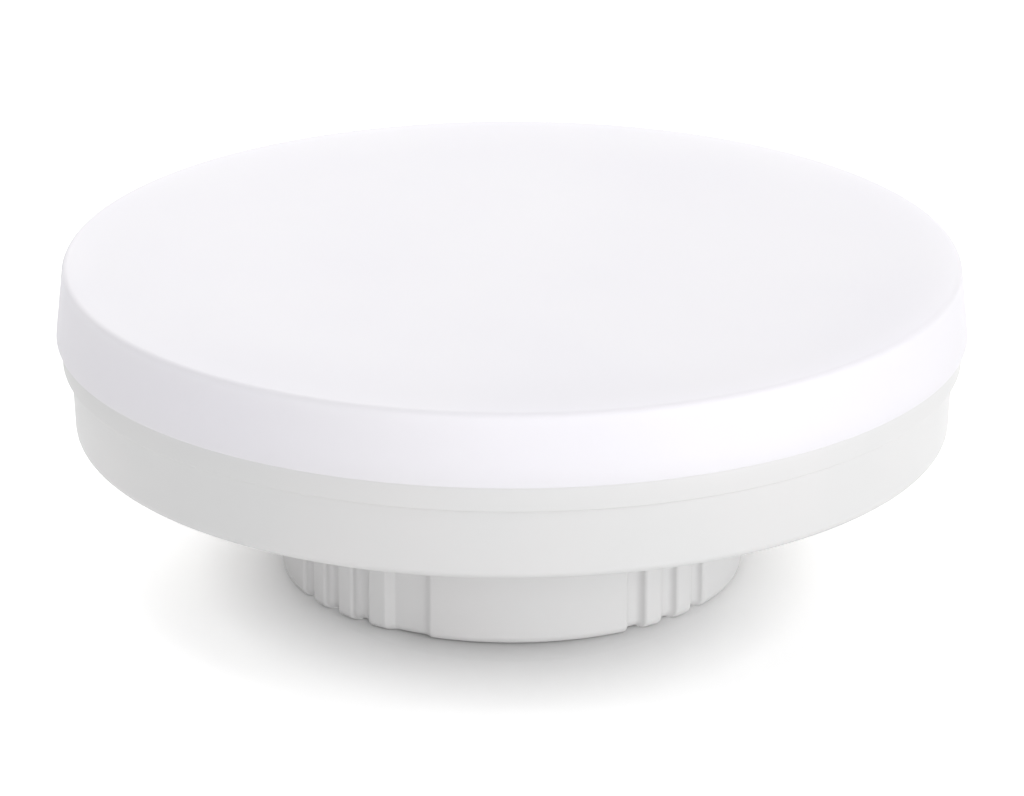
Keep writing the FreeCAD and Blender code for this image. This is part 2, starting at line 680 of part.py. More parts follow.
def add_noses(body):
    """Two snap noses in the boss's mouth, which keep the driver board down."""
    section = new_sketch(body, "nose_section", "YZ_Plane")
    under = "driver_top + nose_gap"
    root = "boss_inner + moulded_root"
    outline(section, [(root, under), (root, f"{under} + nose_height"),
                      ("boss_inner", f"{under} + nose_height"),
                      ("boss_inner - nose_reach", f"{under} + nose_edge"),
                      ("boss_inner - nose_reach", under)])
    nose = revolve(body, "nose", section, angle="nose_angle")
    polar(body, "noses", nose, HALF_TURN_COPIES)


def border_radius(width):
    """Radius of an arc that leaves the dome's rim in line with it and drops by the
    border's drop over the width."""
    chord = f"(({width}) ^ 2 + border_drop ^ 2)"
    bend = f"(border_drop * (dome_radius - dome_rise) - ({width}) * border_inner)"
    return f"{chord} * dome_radius / (2 * {bend})"


def make_diffuser():
    """Opal cover: domed face with a border curving down, rounded shoulder, leaning skirt
    and a snap ring below."""
    body = new_body("diffuser")
    section = new_sketch(body, "diffuser_section", "XZ_Plane")
    inner_edge = "edge_radius - cover_wall"
    inner_face = f"{inner_edge} - ceiling_rounding"
    points = [
        ("0", "lamp_height - cover_wall"),
        ("border_inner", "lamp_height - dome_rise - cover_wall"),
        (inner_face, "edge_height - cover_wall"),
        (inner_edge, "edge_height - cover_wall - ceiling_rounding"),
        ("spigot_inner", "seam_height + cover_wall"),
        ("spigot_inner", "spigot_foot"),
        ("spigot_outer", "spigot_foot"),
        ("spigot_outer", "bead_height - bead_reach"),
        ("spigot_outer + bead_reach", "bead_height"),
        ("spigot_outer", "bead_height + bead_reach"),
        ("spigot_outer", "seam_height"),
        ("lamp_radius", "seam_height"),
        ("edge_radius", "edge_height"),
        ("border_inner", "lamp_height - dome_rise"),
        ("0", "lamp_height"),
    ]
    inner_border = border_radius(f"{inner_face} - border_inner")
    outline(section, points, {0: "-dome_radius", 1: f"-({inner_border})",
                              2: "-ceiling_rounding", 12: border_radius("border_width"),
                              13: "dome_radius"})
    revolve(body, "diffuser_shell", section)
    rim, height = read("edge_radius"), read("edge_height")

    def is_rim(edge):
        return all(abs(math.hypot(vertex.X, vertex.Y) - rim) < NEAR
                   and abs(vertex.Z - height) < NEAR for vertex in edge.Vertexes)

    round_edges(body, "shoulder", "shoulder_radius", is_rim)
    return body


def screw_and_middle_holes(plan):
    ring(plan, "0", "0", "middle_hole")
    for angle in screw_angles(PLATE_SCREWS):
        ring(plan, *screw_spot(angle), "screw_hole")


def make_heat_plate():
    """Pressed aluminium pan: its edge lies on the ledge and its rim turns down."""
    body = new_body("heat_plate")
    section = new_sketch(body, "plate_section", "XZ_Plane")
    outline(section, [
        ("0", "plate_under"),
        ("plate_rim_outer - plate_thickness", "plate_under"),
        ("plate_rim_outer - plate_thickness", "plate_rim_foot"),
        ("plate_rim_outer", "plate_rim_foot"),
        ("plate_rim_outer", "plate_under"),
        ("plate_radius", "plate_under"),
        ("plate_radius", "plate_top"),
        ("0", "plate_top"),
    ])
    revolve(body, "plate_pan", section)
    plan = new_sketch(body, "plate_holes_plan", "XY_Plane", "plate_top")
    screw_and_middle_holes(plan)
    pocket(body, "plate_holes", plan)
    return body


def make_round_sheet(label, radius, bottom, thickness):
    """A flat round sheet with the middle hole and the screw holes."""
    body = new_body(label)
    plan = new_sketch(body, label + "_plan", "XY_Plane", bottom)
    ring(plan, "0", "0", radius)
    pad(body, label + "_sheet", plan, thickness)
    holes = new_sketch(body, label + "_holes_plan", "XY_Plane", f"({bottom}) + ({thickness})")
    screw_and_middle_holes(holes)
    pocket(body, label + "_holes", holes, thickness)
    return body


def make_lamp_board():
    """Metal-backed lamp board with two tinned lands beside the middle hole."""
    body = make_round_sheet("lamp_board", "lamp_board_radius", "pad_top", "lamp_board_thickness")
    lands = new_sketch(body, "lands_plan", "XY_Plane", "lamp_board_top")
    middle = "middle_hole + insulation_radius + land_length / 2"
    for side in ("", "-"):
        rectangle(lands, f"{side}({middle})", "0", "land_length", "land_width")
    pad(body, "lands", lands, "land_height")
    return body


def make_light_chips():
    """Two rings of light chips, each a block with a shallow round dish."""
    body = new_body("light_chips")
    for name, radius, count in (("outer", "outer_ring", OUTER_CHIPS),
                                ("inner", "inner_ring", INNER_CHIPS)):
        plan = new_sketch(body, name + "_chip_plan", "XY_Plane", "lamp_board_top")
        rectangle(plan, radius, "0", "chip_length", "chip_width")
        block = pad(body, name + "_chip", plan, "chip_height")
        polar(body, name + "_chips", block, count)
        dishes = new_sketch(body, name + "_dish_plan", "XY_Plane",
                            "lamp_board_top + chip_height")
        for number in range(count):
            angle = number * 360 / count
            ring(dishes, f"{radius} * cos({angle})", f"{radius} * sin({angle})", "lens_radius")
        pocket(body, name + "_dishes", dishes, "lens_depth")
    return body


def make_plate_screws():
    """Three pan-head screws through the lamp board, pad and plate into the posts."""
    body = new_body("plate_screws")
    for number, angle in enumerate(screw_angles(PLATE_SCREWS)):
        spot = screw_spot(angle)
        shank = new_sketch(body, f"screw_shank_plan_{number}", "XY_Plane",
                           "lamp_board_top - screw_length")
        ring(shank, *spot, "screw_shank_radius")
        pad(body, f"screw_shank_{number}", shank, "screw_length")
        head = new_sketch(body, f"screw_head_plan_{number}", "XY_Plane", "lamp_board_top")
        ring(head, *spot, "screw_head_radius")
        pad(body, f"screw_head_{number}", head, "screw_head_height")
        drive = new_sketch(body, f"screw_drive_plan_{number}", "XY_Plane",
                           "lamp_board_top + screw_head_height")
        across, up = spot
        half_long, half_short = "drive_length / 2", "drive_width / 2"
        cross = [(half_long, half_short), (half_short, half_short), (half_short, half_long)]
        corners = []
        for one, two in ((1, 1), (-1, 1), (-1, -1), (1, -1)):
            arm = cross if one * two > 0 else cross[::-1]
            corners += [(f"{across} + {one} * {x}", f"{up} + {two} * {y}") for x, y in arm]
        outline(drive, corners)
        pocket(body, f"screw_drive_{number}", drive, "drive_depth")
    return body


def make_contact_pin(label, side):
    """Turned pin: round-edged head, neck, collar, shank and its spread end inside."""
    body = new_body(label)
    section = new_sketch(body, label + "_section", "XZ_Plane")
    collar_foot = "under_height - pin_collar_length"
    head_top = f"{collar_foot} - pin_neck_length"
    foot = f"{head_top} - pin_head_length"
    outline(section, [
        ("0", foot),
        ("pin_head_radius - pin_rounding", foot),
        ("pin_head_radius", f"{foot} + pin_rounding"),
        ("pin_head_radius", f"{head_top} - pin_rounding / 2"),
        ("pin_head_radius - pin_rounding / 2", head_top),
        ("pin_neck_radius", head_top),
        ("pin_neck_radius", collar_foot),
        ("pin_collar_radius", collar_foot),
        ("pin_collar_radius", "under_height"),
        ("pin_shank_radius", "under_height"),
        ("pin_shank_radius", "tag_top"),
        ("pin_rivet_radius", "tag_top"),
        ("pin_rivet_radius", "tag_top + pin_rivet_height / 2"),
        ("pin_rivet_radius - pin_rivet_height / 2", "tag_top + pin_rivet_height"),
        ("0", "tag_top + pin_rivet_height"),
    ], {1: "pin_rounding", 3: "pin_rounding / 2", 12: "pin_rivet_height / 2"})
    revolve(body, label + "_turned", section)
    place(body, across=side + "pin_place")
    return body


def make_pin_tag(label, side, turn):
    """Sheet-metal solder tag: a ring under the spread end and a tail towards the middle."""
    body = new_body(label)
    plan = new_sketch(body, label + "_plan", "XY_Plane", "floor_top")
    ring(plan, "0", "0", "tag_radius")
    pad(body, label + "_ring", plan, "tag_thickness")
    tail = new_sketch(body, label + "_tail_plan", "XY_Plane", "floor_top")
    rectangle(tail, "-tag_tail / 2", "0", "tag_tail", "tag_width")
    pad(body, label + "_tail", tail, "tag_thickness")
    hole = new_sketch(body, label + "_hole_plan", "XY_Plane", "tag_top")
    ring(hole, "0", "0", "pin_shank_radius + shank_gap")
    pocket(body, label + "_hole", hole, "tag_thickness")
    place(body, across=side + "pin_place", turn=turn)
    return body


def insulated_wire(label, points, stripped, turn):
    """A bare conductor along the whole way and its insulation along the stretch between the
    stripped ends, both round the same bends."""
    body = new_body(label)
    wire_path(body, label + "_core", "XZ_Plane", points, "wire_bend", "conductor_radius")
    wire_path(body, label + "_cover", "XZ_Plane", stripped, "wire_bend", "insulation_radius")
    place(body, turn=turn)
    return body


def make_mains_wire(label, turn):
    """From the solder tag over the ring floor and down into the driver board."""
    level = "tag_top + conductor_radius"
    end = "pin_place - tag_tail"
    points = [("mains_wire_place", "driver_seat"), ("mains_wire_place", level),
              (f"{end} + bare_length", level)]
    stripped = [("mains_wire_place", "driver_top + strip_above_board"),
                ("mains_wire_place", level), (f"{end} - insulation_radius", level)]
    return insulated_wire(label, points, stripped, turn)


def make_lamp_wire(label, turn):
    """From the driver board up through the middle hole on to a land of the lamp board."""
    level = "lamp_board_top + insulation_radius"
    land = "middle_hole + insulation_radius"
    points = [("lamp_wire_place", "driver_seat"), ("lamp_wire_place", level),
              (f"{land} + bare_length", level)]
    stripped = [("lamp_wire_place", "driver_top + strip_above_board"),
                ("lamp_wire_place", level), (land, level)]
    return insulated_wire(label, points, stripped, turn)


def wire_holes():
    """Middles of all holes in the driver board, from the parts' own places."""
    spots = [("mains_wire_place", "0"), ("-mains_wire_place", "0"),
             ("lamp_wire_place", "0"), ("-lamp_wire_place", "0")]
    for side in ("-", "+"):
        spots += [
            (f"mains_can_x {side} mains_can_pitch / 2", "mains_can_wire_y"),
            (f"film_x {side} film_pitch / 2", "film_y"),
            (f"output_can_x {side} output_can_pitch / 2", "output_can_y"),
            ("choke_x", f"choke_y {side} choke_pitch / 2"),
            ("varistor_x", f"varistor_y {side} varistor_pitch / 2"),
            (f"inductor_x {side} bobbin_pin_length / 2", "inductor_y - bobbin_pin_width / 2"),
            (f"inductor_x {side} bobbin_pin_length / 2", "inductor_y + bobbin_pin_width / 2"),
        ]
    spots += [("fuse_start", "fuse_y"), ("fuse_end", "fuse_y")]
    return spots


def make_driver_board():
    """Round driver board with a hole for each wire."""
    body = new_body("driver_board")
    plan = new_sketch(body, "driver_plan", "XY_Plane", "driver_seat")
    ring(plan, "0", "0", "driver_radius")
    pad(body, "driver_sheet", plan, "driver_thickness")
    holes = new_sketch(body, "driver_holes_plan", "XY_Plane", "driver_top")
    for across, up in wire_holes():
        ring(holes, across, up, "wire_hole")
    pocket(body, "driver_holes", holes, "driver_thickness")
    return body


def straight_wires(body, spots, bottom):
    """Straight wires from a part up through the driver board."""
    plan = new_sketch(body, body.Label + "_wires_plan", "XY_Plane", bottom)
    for across, up in spots:
        ring(plan, across, up, "pin_wire")
    pad(body, body.Label + "_wires", plan, f"driver_top + wire_rise - ({bottom})")


def can_outline(sketch, radius, foot, top):
    """Half the section of a can: rounded ends and a groove rolled in near its upper end."""
    groove = f"{top} - can_groove_drop"
    outline(sketch, [
        ("0", foot), (f"{radius} - can_edge", foot), (radius, f"{foot} + can_edge"),
        (radius, f"{groove} - can_groove"), (f"{radius} - can_groove", groove),
        (radius, f"{groove} + can_groove"), (radius, f"{top} - can_edge"),
        (f"{radius} - can_edge", top), ("0", top),
    ], {1: "can_edge", 6: "can_edge"})


def make_mains_can():
    """Lying input capacitor, its two wires bent up at its end."""
    body = new_body("input_capacitor")
    end = "mains_can_length / 2"
    section = new_sketch(body, "mains_can_section", "XY_Plane")
    can_outline(section, "mains_can_radius", "-" + end, end)
    revolve(body, "mains_can", section)
    rise = "mains_can_radius + stand_off + driver_thickness + wire_rise"
    for number, side in enumerate(("-", "")):
        wire_path(body, f"mains_can_wire_{number}", "YZ_Plane",
                  [(f"{end} - can_edge", "0"), ("mains_can_wire_y", "0"),
                   ("mains_can_wire_y", rise)],
                  "lead_bend", "pin_wire", f"{side}mains_can_pitch / 2")
    place(body, across="mains_can_x", up="part_top - mains_can_radius")
    return body


def make_output_can():
    """Standing output capacitor, hanging under the board by its wires."""
    body = new_body("output_capacitor")
    section = new_sketch(body, "output_can_section", "XZ_Plane")
    can_outline(section, "output_can_radius", "part_top - output_can_height", "part_top")
    revolve(body, "output_can", section)
    straight_wires(body, [(f"{side}output_can_pitch / 2", "0") for side in ("-", "")],
                   "part_top - wire_rise")
    place(body, across="output_can_x", along="output_can_y")
    return body


def make_film_capacitor():
    """Boxed film capacitor with two wires."""
    body = new_body("film_capacitor")
    plan = new_sketch(body, "film_plan", "XY_Plane", "part_top - film_height")
    rectangle(plan, "0", "0", "film_length", "film_width")
    pad(body, "film_box", plan, "film_height")
    straight_wires(body, [(f"{side}film_pitch / 2", "0") for side in ("-", "")],
                   "part_top - wire_rise")
    place(body, across="film_x", along="film_y")
    return body


def make_inductor_core():
    """Ferrite core: a closed frame with a round pole up its middle."""
    body = new_body("inductor_core")
    section = new_sketch(body, "core_section", "XZ_Plane")
    foot = "part_top - core_height"
    outline(section, [("-core_length / 2", foot), ("core_length / 2", foot),
                      ("core_length / 2", "part_top"), ("-core_length / 2", "part_top")])
    outline(section, [
        ("-core_length / 2 + core_limb", f"{foot} + core_limb"),
        ("core_length / 2 - core_limb", f"{foot} + core_limb"),
        ("core_length / 2 - core_limb", "part_top - core_limb"),
        ("-core_length / 2 + core_limb", "part_top - core_limb")])
    feature, before = feature_on(body, "Pad", "core_frame", section)
    bind(feature, "Length", "core_width")
    feature.Midplane = True
    finish(body, feature, before)
    pole = new_sketch(body, "core_pole_plan", "XY_Plane", f"{foot} + core_limb / 2")
    ring(pole, "0", "0", "core_pole_radius")
    pad(body, "core_pole", pole, "core_height - core_limb")
    place(body, across="inductor_x", along="inductor_y")
    return body


def make_inductor_bobbin():
    """Plastic bobbin: a tube round the pole with two flanges and four pins."""
    body = new_body("inductor_bobbin")
    foot = "part_top - core_height + core_limb + bobbin_gap"
    top = "part_top - core_limb - bobbin_gap"
    room = "core_length - 2 * core_limb - 2 * bobbin_gap"
    for name, bottom in (("lower", foot), ("upper", f"{top} - bobbin_wall")):
        plan = new_sketch(body, name + "_flange_plan", "XY_Plane", bottom)
        rectangle(plan, "0", "0", room, "bobbin_width")
        pad(body, name + "_flange", plan, "bobbin_wall")
        if name == "lower":
            tube = new_sketch(body, "bobbin_tube_plan", "XY_Plane", foot)
            ring(tube, "0", "0", "core_pole_radius + bobbin_gap + bobbin_wall")
            pad(body, "bobbin_tube", tube, f"{top} - ({foot})")
    hole = new_sketch(body, "bobbin_hole_plan", "XY_Plane", top)
    ring(hole, "0", "0", "core_pole_radius + bobbin_gap")
    pocket(body, "bobbin_hole", hole)
    spots = []
    for one in ("-", ""):
        for two in ("-", ""):
            spots.append((f"{one}bobbin_pin_length / 2", f"{two}bobbin_pin_width / 2"))
    blocks = new_sketch(body, "pin_blocks_plan", "XY_Plane", f"{top} - bobbin_wall")
    for two in ("-", ""):
        rectangle(blocks, "0", f"{two}bobbin_pin_width / 2", "bobbin_pin_length + 3 * pin_wire",
                  "pin_block_width")
    pad(body, "pin_blocks", blocks, f"part_top - ({top}) + bobbin_wall")
    straight_wires(body, spots, f"{top} - bobbin_wall / 2")
    place(body, across="inductor_x", along="inductor_y")
    return body


def make_inductor_winding():
    """Copper winding round the bobbin's tube."""
    body = new_body("inductor_winding")
    foot = "part_top - core_height + core_limb + 2 * bobbin_gap + bobbin_wall"
    top = "part_top - core_limb - 2 * bobbin_gap - bobbin_wall"
    inner = "core_pole_radius + 2 * bobbin_gap + bobbin_wall"
    section = new_sketch(body, "winding_section", "XZ_Plane")
    outline(section, [(inner, foot), ("winding_outer", foot), ("winding_outer", top),
                      (inner, top)])
    revolve(body, "winding", section)
    place(body, across="inductor_x", along="inductor_y")
    return body


def make_choke_core():
    """Drum core of the small choke, with its two wires."""
    body = new_body("choke_core")
    foot = "part_top - choke_height"
    section = new_sketch(body, "choke_section", "XZ_Plane")
    outline(section, [
        ("0", foot), ("choke_radius", foot), ("choke_radius", f"{foot} + choke_flange"),
        ("choke_neck", f"{foot} + choke_flange"), ("choke_neck", "part_top - choke_flange"),
        ("choke_radius", "part_top - choke_flange"), ("choke_radius", "part_top"),
        ("0", "part_top")])
    revolve(body, "choke_drum", section)
    straight_wires(body, [("0", f"{side}choke_pitch / 2") for side in ("-", "")],
                   "part_top - choke_flange / 2")
    place(body, across="choke_x", along="choke_y")
    return body


def make_choke_winding():
    """Copper winding in the waist of the drum."""
    body = new_body("choke_winding")
    section = new_sketch(body, "choke_winding_section", "XZ_Plane")
    foot = "part_top - choke_height + choke_flange"
    inner = "choke_neck"
    outer = "choke_neck + choke_copper"
    top = "part_top - choke_flange"
    outline(section, [(inner, foot), (outer, foot), (outer, top), (inner, top)])
    revolve(body, "choke_copper_ring", section)
    place(body, across="choke_x", along="choke_y")
    return body


def make_varistor():
    """Dipped surge disc on edge, with two straight wires."""
    body = new_body("varistor")
    section = new_sketch(body, "varistor_section", "XZ_Plane")
    level = "part_top - varistor_radius"
    half = "varistor_thickness / 2"
    outline(section, [
        (f"-{half}", level), (half, level), (half, "part_top - varistor_edge"),
        (f"{half} - varistor_edge", "part_top"),
        (f"-{half} + varistor_edge", "part_top"),
        (f"-{half}", "part_top - varistor_edge")], {2: "varistor_edge", 4: "varistor_edge"})
    axis = section.addGeometry(
        Part.LineSegment(Vector(-1, read(level), 0), Vector(1, read(level), 0)), True)
    pin_point(section, axis, 1, "-1", level)
    pin_point(section, axis, 2, "1", level)
    revolve(body, "varistor_disc", section, axis="Axis0")
    straight_wires(body, [("0", f"{side}varistor_pitch / 2") for side in ("-", "")], level)
    place(body, across="varistor_x", along="varistor_y")
    return body


def make_fuse_resistor():
    """Fusible resistor lying under the board, its wires bent up at both ends."""
    body = new_body("fuse_resistor")
    section = new_sketch(body, "fuse_section", "XY_Plane")
    half = "fuse_length / 2"
    waist = "fuse_radius - fuse_waist"
    outline(section, [
        (f"-{half}", "0"), (half, "0"), (half, "fuse_radius"),
        (f"{half} - fuse_cap", "fuse_radius"), (f"{half} - fuse_cap", waist),
        (f"-{half} + fuse_cap", waist), (f"-{half} + fuse_cap", "fuse_radius"),
        (f"-{half}", "fuse_radius")])
    revolve(body, "fuse_barrel", section, axis="H_Axis")
    rise = "fuse_radius + stand_off + driver_thickness + wire_rise"
    for number, side in enumerate(("-", "")):
        wire_path(body, f"fuse_wire_{number}", "XZ_Plane",
                  [(f"{side}({half} - pin_wire)", "0"), (f"{side}({half} + lead_bend)", "0"),
                   (f"{side}({half} + lead_bend)", rise)], "lead_bend - pin_wire", "pin_wire")
    place(body, across="fuse_x", along="fuse_y", up="part_top - fuse_radius")
    return body


def make_flat_part(label, size, spots):
    """Blocks on the upper side of the driver board, each on its soldered ends."""
    body = new_body(label)
    length, width, height = size
    foot_height = f"{height} * foot_share"
    for name, long_way, bottom, tall in (
            ("foot", length, "driver_top", foot_height),
            ("block", f"{length} - 2 * foot_reach", f"driver_top + {foot_height}",
             f"{height} - {foot_height}")):
        plan = new_sketch(body, f"{label}_{name}_plan", "XY_Plane", bottom)
        for across, along in spots:
            rectangle(plan, across, along, long_way, width)
        pad(body, f"{label}_{name}", plan, tall)
    return body


def make_all():
    bodies = [make_housing(), make_diffuser(), make_heat_plate(),
              make_round_sheet("thermal_pad", "pad_radius", "plate_top", "pad_thickness"),
              make_lamp_board(), make_light_chips(), make_plate_screws()]
    for name, side, turn in (("right", "", 0.0), ("left", "-", 180.0)):
        bodies.append(make_contact_pin("contact_pin_" + name, side))
        bodies.append(make_pin_tag("pin_tag_" + name, side, turn))
        bodies.append(make_mains_wire("mains_wire_" + name, turn))
    bodies.append(make_lamp_wire("lamp_wire_positive", 0.0))
    bodies.append(make_lamp_wire("lamp_wire_negative", 180.0))
    bodies += [make_driver_board(), make_mains_can(), make_output_can(), make_film_capacitor(),
               make_inductor_core(), make_inductor_bobbin(), make_inductor_winding(),
               make_choke_core(), make_choke_winding(), make_varistor(), make_fuse_resistor()]
    for label, (size, spots) in FLAT_PARTS.items():
        bodies.append(make_flat_part(label, size, spots))
    return bodies


def check(bodies):
    """Stops where an object failed or a sub-part has no sound solid."""
    doc.recompute()
    for thing in doc.Objects:
        if "Invalid" in thing.State or "Error" in thing.State:
            raise RuntimeError(f"{thing.Label}: {thing.State}")
    for body in bodies:
        shape = body.Shape
        if shape.isNull() or not shape.isValid() or not shape.Solids:
            raise RuntimeError(f"{body.Label}: no sound solid")


def write(bodies):
    os.makedirs("parts", exist_ok=True)
    for body in bodies:
        body.Shape.exportStep(f"parts/{body.Label}.step")
        box = body.Shape.BoundBox
        print(f"{body.Label}: {len(body.Shape.Solids)} solid(s), {body.Shape.Volume:.2f} mm3, "
              f"z {box.ZMin:.2f} to {box.ZMax:.2f}")


BODIES = make_all()
check(BODIES)
write(BODIES)
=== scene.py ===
# %% [markdown]
# # A flat disc lamp, dressed for a studio picture
#
# The lamp is already built as solids. This notebook gives it its looks: smooth skins for
# what shows, a finish for every piece, a floor, a camera and lamps. Every cell says what
# the real thing is, which ways there are to make it, and why this one was taken.

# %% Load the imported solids
import json
import math

import bpy
import numpy as np
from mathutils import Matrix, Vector


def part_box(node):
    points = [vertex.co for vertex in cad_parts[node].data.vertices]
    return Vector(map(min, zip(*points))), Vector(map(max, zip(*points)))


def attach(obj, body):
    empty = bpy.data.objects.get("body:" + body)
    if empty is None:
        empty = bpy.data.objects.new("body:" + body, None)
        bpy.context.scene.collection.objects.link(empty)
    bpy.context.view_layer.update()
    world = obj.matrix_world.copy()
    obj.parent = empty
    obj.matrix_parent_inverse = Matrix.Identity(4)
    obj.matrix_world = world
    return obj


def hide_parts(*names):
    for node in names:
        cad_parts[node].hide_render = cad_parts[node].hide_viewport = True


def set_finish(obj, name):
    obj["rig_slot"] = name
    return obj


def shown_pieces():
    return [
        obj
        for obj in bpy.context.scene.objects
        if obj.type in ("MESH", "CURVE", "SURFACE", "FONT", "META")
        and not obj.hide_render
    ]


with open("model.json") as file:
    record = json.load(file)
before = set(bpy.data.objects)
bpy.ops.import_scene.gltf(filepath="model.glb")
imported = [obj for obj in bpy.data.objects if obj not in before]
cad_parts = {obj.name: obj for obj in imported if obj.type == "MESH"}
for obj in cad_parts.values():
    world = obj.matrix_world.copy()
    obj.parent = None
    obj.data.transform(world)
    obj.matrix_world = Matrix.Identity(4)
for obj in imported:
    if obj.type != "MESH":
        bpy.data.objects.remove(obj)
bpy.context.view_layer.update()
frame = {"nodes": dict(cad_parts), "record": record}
NODES = frame["nodes"]
print("solids in the frame:", len(NODES))

# %% [markdown]
# ## Sizes
#
# The solids fix every outside size, so the main ones are read from their boxes. Working
# in millimetres keeps the numbers readable; they are made metres when a mesh is written.
# What a box can't tell, such as the depth of a flute, is named once, where it is first
# needed.

# %% Sizes in millimetres
MM = 0.001


def box_mm(node):
    """A solid's lowest and highest corners in millimetres."""
    return [np.array(corner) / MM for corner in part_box(node)]


cover_high = box_mm("diffuser")[1]
house_high = box_mm("housing")[1]
pin_low, pin_high = box_mm("contact_pin_right")

LAMP_RADIUS = cover_high[0]
CROWN = cover_high[2]
SEAM = house_high[2]
BAND_RADIUS = house_high[0]
PIN_PLACE = (pin_low[0] + pin_high[0]) / 2
COLLAR_RADIUS = (pin_high[0] - pin_low[0]) / 2
PIN_FOOT = pin_low[2]
UNDERSIDE = 12.3
COVER_WALL = 1.5
BOSS_RADIUS = 19.1
print(f"lamp radius {LAMP_RADIUS:.2f}, crown {CROWN:.2f}, seam {SEAM:.2f}, "
      f"pins at {PIN_PLACE:.2f}")

# %% [markdown]
# ## Paths with rounded corners
#
# No moulded or turned part has a perfectly sharp edge, and a thin bright line along each
# edge is what makes it look real. A bevel modifier could round the edges, but it acts on
# every edge alike. Here each corner of a section carries its own radius instead.


# %% A path with a radius at each corner
def rounded(corners, steps=6):
    """Points of an open path in a plane, from corners (x, y, radius).

    The arc at a corner touches both sides. With half the corner's angle h, its centre is
    radius / sin(h) from the corner along the bisector, and it starts and ends
    radius / tan(h) away along the sides.
    """
    corners = np.array(corners, float)
    places, radii = corners[:, :2], corners[:, 2]
    runs = []
    for number, (here, radius) in enumerate(zip(places, radii)):
        if radius == 0 or number in (0, len(corners) - 1):
            runs.append(here[None])
            continue
        back = places[number - 1] - here
        ahead = places[number + 1] - here
        back /= np.hypot(*back)
        ahead /= np.hypot(*ahead)
        half = math.acos(np.clip(back @ ahead, -1, 1)) / 2
        bisector = (back + ahead) / np.hypot(*(back + ahead))
        centre = here + bisector * radius / math.sin(half)
        start = here + back * radius / math.tan(half) - centre
        end = here + ahead * radius / math.tan(half) - centre
        first = math.atan2(start[1], start[0])
        turn = (math.atan2(end[1], end[0]) - first + math.pi) % (2 * math.pi) - math.pi
        angle = first + turn * np.linspace(0, 1, steps + 1)
        runs.append(centre + radius * np.stack([np.cos(angle), np.sin(angle)], 1))
    return np.concatenate(runs)


print("a rounded corner has", len(rounded([(0, 0, 0), (1, 0, 0.2), (1, 1, 0)])), "points")

# %% [markdown]
# ## From a grid of points to a mesh
#
# Turned and moulded shapes are surfaces over two parameters: one goes round the axis and
# one runs along the section. The whole grid is worked out with numpy at once, and the
# faces are index arithmetic, so nothing loops over vertices. Where the section starts or
# ends on the axis, one vertex closes the pole.


# %% Grid helpers
def ring_faces(rings, around):
    """Quads between neighbouring rings of a grid that closes on itself round the axis."""
    ring, step = np.meshgrid(np.arange(rings - 1), np.arange(around), indexing="ij")
    ahead = (step + 1) % around
    quads = [ring * around + step, ring * around + ahead,
             (ring + 1) * around + ahead, (ring + 1) * around + step]
    return np.stack(quads, -1).reshape(-1, 4)


def closed_skin(rings):
    """Vertices and faces of a skin whose first and last ring are each a single point."""
    around = rings.shape[1]
    inner = rings[1:-1]
    points = np.concatenate([inner.reshape(-1, 3), rings[0, :1], rings[-1, :1]])
    step = np.arange(around)
    ahead = (step + 1) % around
    bottom, top = len(points) - 2, len(points) - 1
    last = (len(inner) - 1) * around
    fans = [np.stack([np.full(around, bottom), ahead, step], 1),
            np.stack([np.full(around, top), last + step, last + ahead], 1)]
    quads = ring_faces(len(inner), around)
    return points, quads.tolist() + np.concatenate(fans).tolist()


def looped_skin(rings):
    """Vertices and faces of a skin whose section is a loop, such as a tube or a coil."""
    count, around = rings.shape[:2]
    wrapped = ring_faces(count + 1, around) % (count * around)
    return rings.reshape(-1, 3), wrapped.tolist()


def turned(section, around=360, centre=(0.0, 0.0)):
    """A section (r, z) carried round an upright axis: x = r cos a, y = r sin a."""
    angle = np.linspace(0, 2 * math.pi, around, endpoint=False)
    reach, level = section[:, :1], section[:, 1:]
    return np.stack([centre[0] + reach * np.cos(angle), centre[1] + reach * np.sin(angle),
                     level + 0 * angle], -1)


def new_piece(name, points, faces, node=None, slot=None, sharp=40):
    """A mesh object at the origin that rides on the lamp and may stand for a solid.

    Points come in millimetres. Edges that turn more than the sharp angle, in degrees, are
    shaded as edges and the rest smoothly.
    """
    mesh = bpy.data.meshes.new(name)
    mesh.from_pydata((points * MM).tolist(), [], faces)
    mesh.validate()
    mesh.shade_smooth()
    mesh.set_sharp_from_angle(angle=math.radians(sharp))
    piece = bpy.data.objects.new(name, mesh)
    bpy.context.scene.collection.objects.link(piece)
    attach(piece, "root")
    if node:
        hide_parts(node)
    if slot:
        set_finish(piece, slot)
    print(f"{name}: {len(mesh.vertices)} vertices, {len(mesh.polygons)} faces")


print("two rings of 12 points make", len(ring_faces(2, 12)), "quads")

# %% [markdown]
# ## Opal cover
#
# The cover is one moulding of milky plastic: a nearly flat face, a border that curves
# gently down, a tight shoulder, a skirt that overhangs the housing, and inside a ring that
# snaps into it. A scaled cylinder has no such border, and on a smooth white thing that
# slow curve is all that one sees of the form, because it moves the reflections. So the
# whole section is drawn and turned. Two parabolas, end to end without a kink, make the
# face and its border.

# %% Section of the cover
SKIRT_DRAFT = 0.6
SHOULDER_ROUNDING = 0.6
BORDER_WIDTH = 8.5
BORDER_DROP = 0.5
DOME_RISE = 0.2
SHOULDER_START = 0.75
CEILING_ROUNDING = 0.8
CEILING_START = 1.2
SPIGOT_OUTER = BAND_RADIUS - 1.8
SPIGOT_WALL = 1.2
SPIGOT_DEPTH = 1.9
SPIGOT_FILLET = 0.4
SPIGOT_ROUNDING = 0.2
BEAD_REACH = 0.2
BEAD_DROP = 1.1
BEAD_FILLET = 0.05
BEAD_ROUNDING = 0.1
SEAT_FILLET = 0.08
LIP_ROUNDING = 0.06
DOME_STEPS = 12


